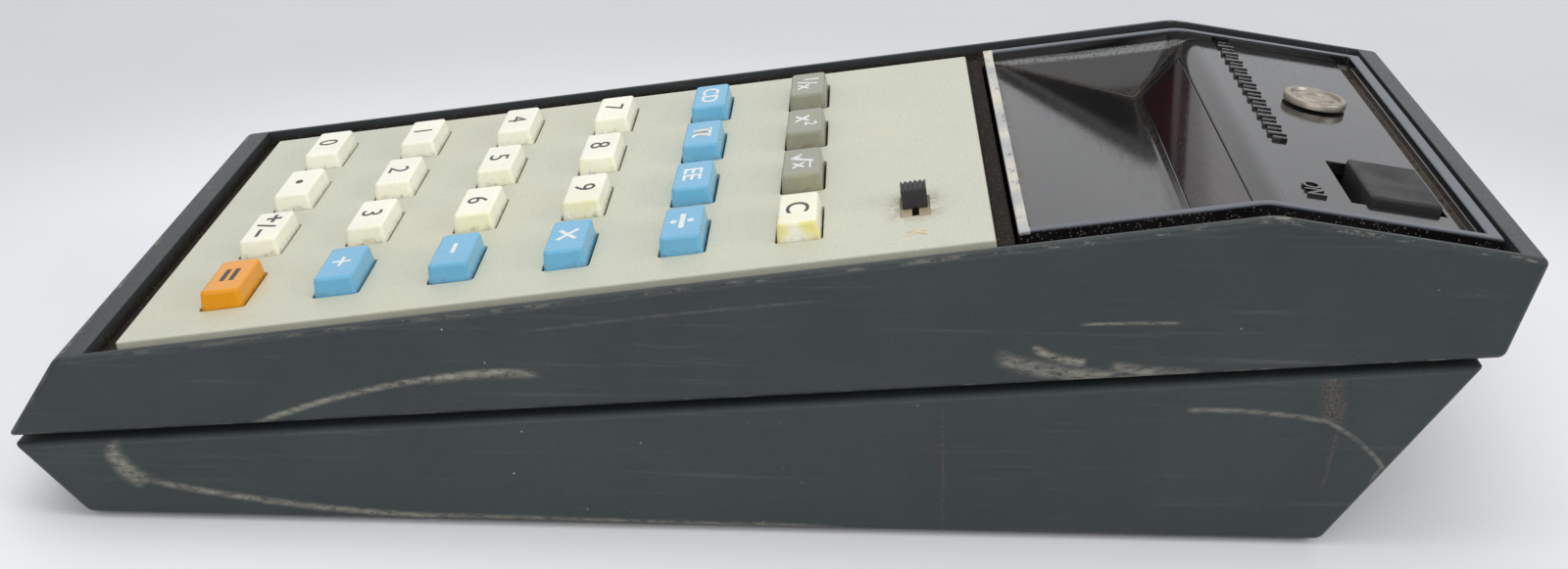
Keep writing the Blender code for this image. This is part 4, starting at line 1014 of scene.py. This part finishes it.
def make_plate():
    size = PLATE_HIGH - PLATE_LOW
    middle = (PLATE_HIGH + PLATE_LOW) / 2
    plate = Solid(box_mesh(size, middle, DECK)).bevel(0.25 * MM, segments=4)
    holes = []
    for name in KEYS:
        low, high = cap_span(name)
        hole = (high.x - low.x + 2 * KEY_GAP, high.y - low.y + 2 * KEY_GAP, THROUGH)
        mesh = Solid(box_mesh(hole)).bevel_edges(upright, CAP_CORNER, 4).mesh()
        mesh.transform(plate_top_at(low, high))
        holes.append(mesh)
    plate.boolean(merged(holes))
    half_way = Vector((CONSTANT_TRAVEL / 2, 0.0, 0.0))
    low, high = span("constant_switch_knob", DECK)
    place = plate_top_at(low + half_way, high + half_way)
    stem = (CONSTANT_TRAVEL + STEM_SLOT_SPARE, STEM_SLOT, THROUGH)
    plate.boolean(box_mesh(stem, frame_matrix=place))
    track = (KNOB_TOP.x + CONSTANT_TRAVEL + TRACK_SPARE[0], KNOB_TOP.y + TRACK_SPARE[1],
             2 * TRACK_DEPTH)
    plate.boolean(box_mesh(track, frame_matrix=place))
    plate.tidy().bevel(0.1 * MM, segments=2, angle=50.0)
    piece("key_plate_face", plate.mesh(), CREAM, CASE, "key_plate")


def cap_span(name):
    """Extent of the part of a key above the plate, in the deck's own axes."""
    back = DECK.inverted()
    points = [back @ v.co for v in CAD[name].data.vertices]
    points = [p for p in points if p.z > PLATE_HIGH.z - 0.05 * MM]
    low = Vector(min(p[i] for p in points) for i in range(3))
    high = Vector(max(p[i] for p in points) for i in range(3))
    return low, high


def key_cap_mesh(name):
    """A tapered cap with generous rounding, a straight skirt and the flange that retains it."""
    low, high = cap_span(name)
    width, length, height = high.x - low.x, high.y - low.y, high.z - PLATE_HIGH.z
    depth = PLATE_HIGH.z - span(name, DECK)[0].z
    shape = bmesh.new()
    made = bmesh.ops.create_cube(shape, size=1.0)
    for vert in made["verts"]:
        top = vert.co.z > 0
        spare = CAP_TAPER if top else 0.0
        vert.co.x = math.copysign(width / 2 - spare, vert.co.x)
        vert.co.y = math.copysign(length / 2 - spare, vert.co.y)
        vert.co.z = height if top else -CAP_ROOT
    corners = [edge for edge in shape.edges if upright(edge)]
    bmesh.ops.bevel(
        shape, geom=corners, offset=CAP_CORNER, segments=5, profile=0.5, affect="EDGES"
    )
    rim = [e for e in shape.edges if min(v.co.z for v in e.verts) > height - 0.01 * MM]
    bmesh.ops.bevel(shape, geom=rim, offset=CAP_RIM, segments=5, profile=0.55, affect="EDGES")
    cap = Solid(mesh_of(shape))
    skirt = (width - SKIRT_SHRINK, length - SKIRT_SHRINK, depth - SKIRT_SHRINK)
    cap.boolean(box_mesh(skirt, (0, 0, -depth / 2 - 0.05 * MM)), "UNION")
    flange = (width + FLANGE_RIM, length + FLANGE_RIM, FLANGE_HEIGHT)
    cap.boolean(box_mesh(flange, (0, 0, FLANGE_HEIGHT / 2 - depth)), "UNION")
    mesh = cap.mesh()
    mesh.transform(plate_top_at(low, high))
    return mesh


# Legend of each key: parts as (text, size, x, y, weight) in mm from the key's centre
LEGENDS = {
    "key_point": (("·", 6.4, 0.0, 0.0, 0.08),),
    "key_sign": (
        ("+", 3.6, -2.3, 0.35, 0.05), ("/", 3.4, 0.1, 0.0, 0.05), ("−", 3.4, 2.5, -0.35, 0.06),
    ),
    "key_equals": (("=", 4.9, 0.0, 0.0, 0.08),),
    "key_plus": (("+", 4.3, 0.0, 0.0, 0.01),),
    "key_minus": (("−", 4.2, 0.0, 0.0, 0.06),),
    "key_multiply": (("×", 5.6, 0.0, 0.0, 0.0),),
    "key_divide": (("÷", 6.5, 0.0, 0.0, 0.03),),
    "key_clear_entry": (("CD", 3.0, 0.0, 0.0, 0.05),),
    "key_pi": (("π", 4.2, 0.0, 0.0, 0.02),),
    "key_exponent": (("EE", 3.1, 0.0, 0.0, 0.05),),
    "key_reciprocal": (
        ("1", 2.7, -1.8, 0.5, 0.04), ("/", 3.6, -0.2, 0.0, 0.03), ("x", 3.0, 1.5, -0.5, 0.04),
    ),
    "key_square": (("x", 3.5, -0.6, -0.3, 0.05), ("2", 2.1, 1.6, 0.8, 0.03)),
    "key_root": (("√", 3.7, -1.0, 0.0, 0.04), ("x", 2.8, 1.5, -0.3, 0.04)),
    "key_clear": (("C", 3.6, 0.0, 0.0, 0.02),),
}
WHITE_LEGENDS = ("key_blue", "key_grey")
LEGEND_DEPTH = 0.05 * MM
LEGEND_STRETCH = 1.42
DIGIT_SIZE = 3.5
ROOT_BAR = (2.4 * MM, 0.2 * MM, LEGEND_DEPTH)
ROOT_BAR_X, ROOT_BAR_Y = 1.45 * MM, 1.05 * MM


def make_keys():
    for name in KEYS:
        slot = SLOTS[name]
        piece(f"{name}_cap", key_cap_mesh(name), KEY_COLOURS[slot], name, name, angle=35.0)
        low, high = cap_span(name)
        x, y = (low.x + high.x) / 2, (low.y + high.y) / 2
        digit = name.removeprefix("key_")
        meshes = []
        for text, size, dx, dy, weight in LEGENDS.get(name, ((digit, DIGIT_SIZE, 0, 0, 0),)):
            place = on_deck(x + dx * MM, y + dy * MM, high.z)
            mesh = text_mesh(text, size * MM, LEGEND_DEPTH, place, LEGEND_STRETCH, weight * MM)
            meshes.append(mesh)
        if name == "key_root":
            place = on_deck(x + ROOT_BAR_X, y + ROOT_BAR_Y, high.z)
            meshes.append(box_mesh(ROOT_BAR, frame_matrix=place))
        ink = INK_WHITE if slot in WHITE_LEGENDS else INK_BLACK
        piece(f"{name}_legend", merged(meshes), ink, name)


# ---------------------------------------------------------------- switches

KNOB_SUNK = 0.25 * MM
RIB_PITCH = 0.54 * MM
RIB_GROOVE = (4.0 * MM, 0.2 * MM, 0.36 * MM)
STEM_WIDTH, STEM_OVERLAP = 0.6 * MM, 0.5 * MM
SLIDER_HEIGHT = 0.8 * MM


def make_constant_knob():
    """Small ribbed slider on a stem."""
    low, high = span("constant_switch_knob", DECK)
    x, y = (low.x + high.x) / 2, (low.y + high.y) / 2
    base = PLATE_HIGH.z - KNOB_SUNK
    size = (KNOB_TOP.x, KNOB_TOP.y, high.z - base)
    knob = Solid(box_mesh(size, frame_matrix=on_deck(x, y, (base + high.z) / 2)))
    grooves = []
    for step in range(-2, 3):
        place = on_deck(x, y + step * RIB_PITCH, high.z)
        grooves.append(box_mesh(RIB_GROOVE, frame_matrix=place))
    knob.boolean(merged(grooves)).tidy().bevel(0.06 * MM, segments=2, angle=50.0)
    stem_top = base + STEM_OVERLAP
    stem = (STEM_WIDTH, STEM_WIDTH, stem_top - low.z - SLIDER_HEIGHT / 2)
    knob.boolean(box_mesh(stem, frame_matrix=on_deck(x, y, stem_top - stem[2] / 2)), "UNION")
    slider = (high.x - low.x, high.y - low.y, SLIDER_HEIGHT)
    place = on_deck(x, y, low.z + SLIDER_HEIGHT / 2)
    knob.boolean(box_mesh(slider, frame_matrix=place), "UNION")
    node = "constant_switch_knob"
    piece("constant_slider_knob", knob.mesh(), KNOB_BLACK, node, node)


def make_power_knob():
    """Broad flat slab with softly rounded edges."""
    node = "power_switch_knob"
    low, high = span(node, ROOF)
    knob = Solid(box_mesh(high - low, (high + low) / 2, ROOF)).bevel(0.35 * MM, segments=4)
    piece("power_slider_knob", knob.mesh(), SLAB_BLACK, node, node)


# ---------------------------------------------------------------- display

def largest_face(node):
    """(centre, direction) of the largest flat area that faces up."""
    best = {}
    for polygon in CAD[node].data.polygons:
        key = tuple(round(c, 2) for c in polygon.normal)
        best.setdefault(key, [0.0, Vector(), polygon.normal.copy()])
        best[key][0] += polygon.area
        best[key][1] += polygon.center * polygon.area
    area, centre, normal = max((v for v in best.values() if v[2].z > 0), key=lambda v: v[0])
    return centre / area, normal


PANE_CENTRE, PANE_OUT = largest_face("display_filter")
PANE_UP = Vector((0.0, PANE_OUT.z, -PANE_OUT.y))
PANE = axes_frame(PANE_UP, PANE_OUT, PANE_CENTRE)
PANE_LOW, PANE_HIGH = span("display_filter", PANE)
# The pane lies a hair below the hopper's rear wall
WALL_LIFT = 0.05 * MM


def rear_wall(up, out=0.0):
    """(y, z) on the hopper's rear wall, up from the pane's centre."""
    return (PANE_CENTRE + PANE_UP * up + PANE_OUT * (out + WALL_LIFT)).yz


BROW = meet((rear_wall(0.0), rear_wall(MM)), (roof(0.0, -PANEL_DEPTH), roof(MM, -PANEL_DEPTH)))
VALLEY = rear_wall(PANE_LOW.y - GAP - 1.1 * MM)
BROW_MARGIN = (BROW - rear_wall(PANE_HIGH.y)).length - GAP
PANE_GAP = 0.04 * MM


def hull_mesh(points):
    shape = bmesh.new()
    for point in points:
        shape.verts.new(point)
    result = bmesh.ops.convex_hull(shape, input=shape.verts)
    loose = [item for item in result["geom_interior"] if isinstance(item, bmesh.types.BMVert)]
    bmesh.ops.delete(shape, geom=loose, context="VERTS")
    bmesh.ops.dissolve_limit(
        shape, angle_limit=math.radians(0.2), verts=shape.verts, edges=shape.edges
    )
    return mesh_of(shape)


def rounding_mesh(corner, first, second, reach, half_width, steps=12):
    """What has to go to round off a corner, whose two faces run along first and second."""
    half_angle = first.angle(second) / 2
    radius = reach * math.tan(half_angle)
    inward = (first + second).normalized()
    centre = corner + inward * (radius / math.sin(half_angle))
    start, end = corner + first * reach - centre, corner + second * reach - centre
    points = []
    for step in range(steps + 1):
        points.append(centre + start.lerp(end, step / steps).normalized() * radius)
    return prism_mesh([*points, corner - inward * reach], half_width)


def near(point, place, reach=0.05 * MM):
    return (Vector((point.y, point.z)) - place).length < reach


def make_bezel():
    """The frame round the display: its hopper, the panel behind the ridge and the slide's slot."""
    valley_s = (VALLEY - DECK_START).dot(DECK_ALONG.yz)
    valley_n = (VALLEY - DECK_START).dot(DECK_UP.yz)
    outline = [
        deck(BEZEL_START, -BEZEL_FRONT_DEPTH),
        deck(valley_s - 0.8 * MM, valley_n - BELOW_VALLEY),
        deck(valley_s + 1.2 * MM, valley_n - BELOW_VALLEY + 0.3 * MM),
        roof(2.4 * MM, -PANEL_DEPTH - PANEL_THICKNESS),
        roof(BEZEL_END, -PANEL_DEPTH - PANEL_THICKNESS),
        roof(BEZEL_END, 0.0),
        *ridge_arc(0.0),
        deck(BEZEL_START, 0.0),
    ]
    bezel = Solid(prism_mesh(outline, BEZEL_HALF))
    lugs = []
    for side in (-1, 1):
        place = on_deck(side * (BEZEL_HALF + 0.5 * MM), LUG_S, -LUG_DEPTH)
        lugs.append(box_mesh(LUG, frame_matrix=place))
    bezel.boolean(merged(lugs), "UNION")

    inner = BEZEL_HALF - BEZEL_RIM
    front = BEZEL_START + BEZEL_RIM
    end = BEZEL_END - BEZEL_RIM - 0.3 * MM
    head = 5.0 * MM
    lip_start = deck(front, -HOPPER_FRONT_DEPTH)
    lip_end = deck(DECK_LENGTH - HOPPER_REAR_STOP, -HOPPER_REAR_DEPTH)
    panel_end = roof(end, -PANEL_DEPTH)
    band = [lip_start, lip_end, BROW, panel_end, roof(end, head), deck(front, head)]
    bezel.boolean(prism_mesh(band, inner))
    points = []
    for side in (-1, 1):
        for place in (lip_start, deck(front, MM), lip_end, BROW):
            points.append(at_x(side * inner, place))
        points.append(at_x(side * VALLEY_HALF, VALLEY))
    bezel.boolean(hull_mesh(points)).tidy()
    groove = (2 * inner, GROOVE_LENGTH, GROOVE_DEPTH)
    place = on_roof(0.0, end - GROOVE_LENGTH / 2, -PANEL_DEPTH)
    bezel.boolean(box_mesh(groove, frame_matrix=place))
    bezel.bevel_edges(lambda e: any(near(v.co, VALLEY) for v in e.verts), 0.25 * MM, 3)

    middle = (PANE_HIGH.y + PANE_LOW.y) / 2
    opening = (PANE_HIGH.x - PANE_LOW.x + 2 * GAP, PANE_HIGH.y - PANE_LOW.y + 2 * GAP, 8.0 * MM)
    bezel.boolean(box_mesh(opening, (0.0, middle, -2.0 * MM), PANE))
    knob_low, knob_high = span("power_switch_knob", ROOF)
    slot_x = (knob_low.x + knob_high.x) / 2
    bezel.boolean(box_mesh(SLOT, (slot_x, SLOT_T, -2.0 * MM), ROOF))
    bezel.boolean(rounding_mesh(BROW, -PANE_UP.yz, ROOF_ALONG.yz, 0.86 * BROW_MARGIN, inner))
    bezel.bevel(0.14 * MM, segments=3, angle=50.0)
    piece("display_hood", bezel.mesh(), BLACK_GLOSS, CASE, "display_bezel", angle=35.0)


def make_window():
    size = PANE_HIGH - PANE_LOW + Vector((2.0, 2.0, 0.0)) * (GAP - PANE_GAP)
    pane = Solid(box_mesh(size, (PANE_HIGH + PANE_LOW) / 2, PANE)).bevel(0.1 * MM, 3)
    piece("display_window", pane.mesh(), RED, CASE, "display_filter")


# Profile of the badge, as shares of its radius and height
BADGE_STEPS = (
    (1.0, 0.0), (1.0, 0.8), (0.97, 0.96), (0.93, 1.0), (0.82, 1.0), (0.78, 0.66),
    (0.6, 0.66), (0.56, 0.9), (0.52, 0.95), (0.3, 0.96), (0.26, 0.8), (0.0, 0.8),
)


def make_badge():
    """A plain stepped disc of metal with a ring and a low boss."""
    low, high = span("badge", ROOF)
    radius, height = (high.x - low.x) / 2, high.z - low.z
    place = on_roof((low.x + high.x) / 2, (low.y + high.y) / 2, low.z)
    profile = [(0.0, 0.0), *((radius * r, height * z) for r, z in BADGE_STEPS)]
    piece("badge_disc", turned_mesh(profile, place), BADGE_METAL, CASE, "badge")


RAISED_DEPTH = 0.3 * MM
RIBS, RIB_START, RIB_STEP, RIB_WIDTH = 25, -33.0 * MM, 1.7 * MM, 0.75 * MM
RIB_LENGTHS = (1.7 * MM, 2.2 * MM)
STRIP_T = 6.3 * MM
POWER_MARK_SIZE, POWER_MARK_X, POWER_MARK_T = 2.9 * MM, 25.0 * MM, 6.8 * MM
CONSTANT_MARK_SIZE, CONSTANT_MARK_DEPTH = 3.0 * MM, 0.1 * MM
CONSTANT_MARK_X, CONSTANT_MARK_S = 30.5 * MM, 91.3 * MM


def make_raised_marks():
    """A ribbed strip where a name plate would be, the power mark and the slide switch's letter."""
    bars = []
    for number in range(RIBS):
        size = (RIB_WIDTH, RIB_LENGTHS[number % 2], 2 * RAISED_DEPTH)
        place = on_roof(RIB_START + RIB_STEP * number, STRIP_T, -PANEL_DEPTH + 0.1 * MM)
        bars.append(Solid(box_mesh(size, frame_matrix=place)).bevel(0.12 * MM, 2).mesh())
    piece("ribbed_strip", merged(bars), BLACK_GLOSS, CASE)
    place = on_roof(POWER_MARK_X, POWER_MARK_T, -PANEL_DEPTH + RAISED_DEPTH / 2)
    power = text_mesh("ON", POWER_MARK_SIZE, RAISED_DEPTH, place, weight=0.05 * MM)
    piece("power_mark", power, BLACK_GLOSS, CASE)
    place = on_deck(CONSTANT_MARK_X, CONSTANT_MARK_S, PLATE_HIGH.z + 0.03 * MM)
    letter = text_mesh("K", CONSTANT_MARK_SIZE, CONSTANT_MARK_DEPTH, place, weight=0.06 * MM)
    piece("constant_mark", letter, MARK_BROWN, CASE)


# ---------------------------------------------------------------- carried-over CAD nodes

def finish_cad(node, material):
    """Gives a CAD node its finish, and soft shading where its faces meet gently."""
    obj = CAD[node]
    obj.data.materials.clear()
    obj.data.materials.append(material)
    weld = obj.modifiers.new("weld", "WELD")
    weld.merge_threshold = 0.001 * MM
    smooth(obj.data)


def finish_internals():
    """Finishes each CAD node that no piece replaces, by its material slot."""
    finishes = {
        "board_green": BOARD,
        "screw_steel": STEEL,
        "sheet_clear": make_plain("dome_sheet_film", (178, 174, 150), 0.4),
        "chip_black": make_plain("chip_moulding", (34, 34, 36), 0.5, grain=0.2 * MM),
        "led_lens": make_plain("display_lens", (120, 22, 26), 0.12),
        "cell_wrap": make_cell_material(),
        "holder_white": make_plain("holder_moulding", (200, 198, 186), 0.5),
        "switch_black": make_textured_black("switch_moulding", grain=0.3 * MM),
        "ribbon_amber": make_plain("ribbon_film", (176, 120, 52), 0.35),
        "lead_red": make_plain("red_sleeve", (176, 30, 30), 0.4),
        "lead_black": make_plain("black_sleeve", (34, 34, 34), 0.4),
        "jack_black": make_textured_black("jack_moulding"),
    }
    for node, slot in SLOTS.items():
        if not CAD[node].hide_render:
            finish_cad(node, finishes[slot])


def make_cell_material():
    """Printed sleeve in two bands, with bare metal at both ends."""
    s = Shader("cell_sleeve", roughness=0.35)
    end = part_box("battery_cell_1")[1].x
    fine = s.noise(0.5 * MM, detail=4.0)
    away = s.maths("ABSOLUTE", s.x)
    band = s.remap(away, 0.35 * end, 0.36 * end)
    sleeve = s.mix(band, linear(196, 188, 60), linear(44, 60, 44))
    sleeve = s.mix(s.times(fine, 0.4), sleeve, linear(150, 140, 70))
    metal = s.remap(away, end - 1.3 * MM, end - 1.1 * MM)
    s.set("Base Color", s.mix(metal, sleeve, linear(180, 180, 178)))
    s.set("Metallic", metal)
    s.set("Roughness", s.remap(fine, 0.3, 0.7, 0.28, 0.45))
    s.bump(fine, 0.01 * MM, 0.4)
    return s.material


# ---------------------------------------------------------------- table, light and camera

def make_stage():
    shape = bmesh.new()
    bmesh.ops.create_grid(shape, x_segments=8, y_segments=8, size=3.0)
    mesh = mesh_of(shape, "table_top")
    table_top = bpy.data.objects.new("table_top", mesh)
    bpy.context.scene.collection.objects.link(table_top)
    s = Shader("pale_table", roughness=0.6)
    broad = s.noise(90.0 * MM, detail=3.0)
    away = s.node("ShaderNodeVectorMath", {"operation": "LENGTH"}, Vector=s.place).outputs["Value"]
    # The floor is painted lighter near the calculator and greyer farther out: a painted pool of
    # light that offsets the shadow round it, and painted shade at a distance
    floor_painted_light_near = s.mix(s.remap(broad, 0.3, 0.7), linear(248, 248, 250), linear(251, 251, 252))
    far = s.mix(s.remap(broad, 0.3, 0.7), linear(206, 207, 210), linear(209, 210, 212))
    s.set("Base Color", s.mix(s.remap(away, 0.06, 0.18), floor_painted_light_near, far))
    mesh.materials.append(s.material)

    world = bpy.data.worlds.new("soft_studio")
    bpy.context.scene.world = world
    world.use_nodes = True
    background = world.node_tree.nodes["Background"]
    background.inputs["Color"].default_value = (0.95, 0.97, 1.0, 1.0)
    background.inputs["Strength"].default_value = 0.5


def area_light(name, place, target, size, power):
    light = bpy.data.lights.new(name, "AREA")
    light.shape = "RECTANGLE"
    light.size, light.size_y = size
    light.energy = power
    obj = bpy.data.objects.new(name, light)
    obj.location = place
    obj.rotation_mode = "QUATERNION"
    obj.rotation_quaternion = (Vector(target) - Vector(place)).to_track_quat("-Z", "Y")
    bpy.context.scene.collection.objects.link(obj)


def make_lights():
    middle = (0.0, 0.0, 0.02)
    area_light("top_softbox", (-0.15, -0.1, 0.9), middle, (0.9, 0.9), 3.5)
    area_light("left_softbox", (0.1, -0.9, 0.5), middle, (0.6, 0.5), 0.25)
    area_light("far_softbox", (-1.0, 0.15, 0.5), middle, (1.6, 0.7), 1.7)
    area_light("near_softbox", (0.75, -0.1, 0.35), middle, (0.9, 0.5), 2.3)
    area_light("rear_softbox", (0.3, 0.75, 0.42), (0.03, 0.03, 0.0), (0.45, 0.3), 2.0)


# Pinhole camera in front of the right-hand side
CAMERA_PLACE = Vector((243.3, 8.7, 109.6)) * MM
CAMERA_YAW = 0.0298
CAMERA_PITCH = 0.3780
CAMERA_ROLL = 0.0084
CAMERA_LENS = 49.4


def make_camera():
    data = bpy.data.cameras.new("photo_camera")
    data.sensor_width = 36.0
    data.lens = CAMERA_LENS
    data.clip_start, data.clip_end = 0.01, 20.0
    camera = bpy.data.objects.new("photo_camera", data)
    flat = math.cos(CAMERA_PITCH)
    x, y = -flat * math.cos(CAMERA_YAW), -flat * math.sin(CAMERA_YAW)
    ahead = Vector((x, y, -math.sin(CAMERA_PITCH)))
    side = ahead.cross(Vector((0.0, 0.0, 1.0))).normalized()
    up = side.cross(ahead)
    turned_side = side * math.cos(CAMERA_ROLL) + up * math.sin(CAMERA_ROLL)
    turned_up = up * math.cos(CAMERA_ROLL) - side * math.sin(CAMERA_ROLL)
    pose = Matrix((turned_side, turned_up, -ahead)).transposed().to_4x4()
    pose.translation = CAMERA_PLACE
    camera.matrix_world = pose
    bpy.context.scene.collection.objects.link(camera)
    bpy.context.scene.camera = camera


make_upper_case()
make_lower_case()
make_feet()
make_plate()
make_keys()
make_constant_knob()
make_power_knob()
make_bezel()
make_window()
make_badge()
make_raised_marks()
finish_internals()
make_stage()
make_lights()
make_camera()
bpy.context.scene.view_settings.view_transform = "Standard"
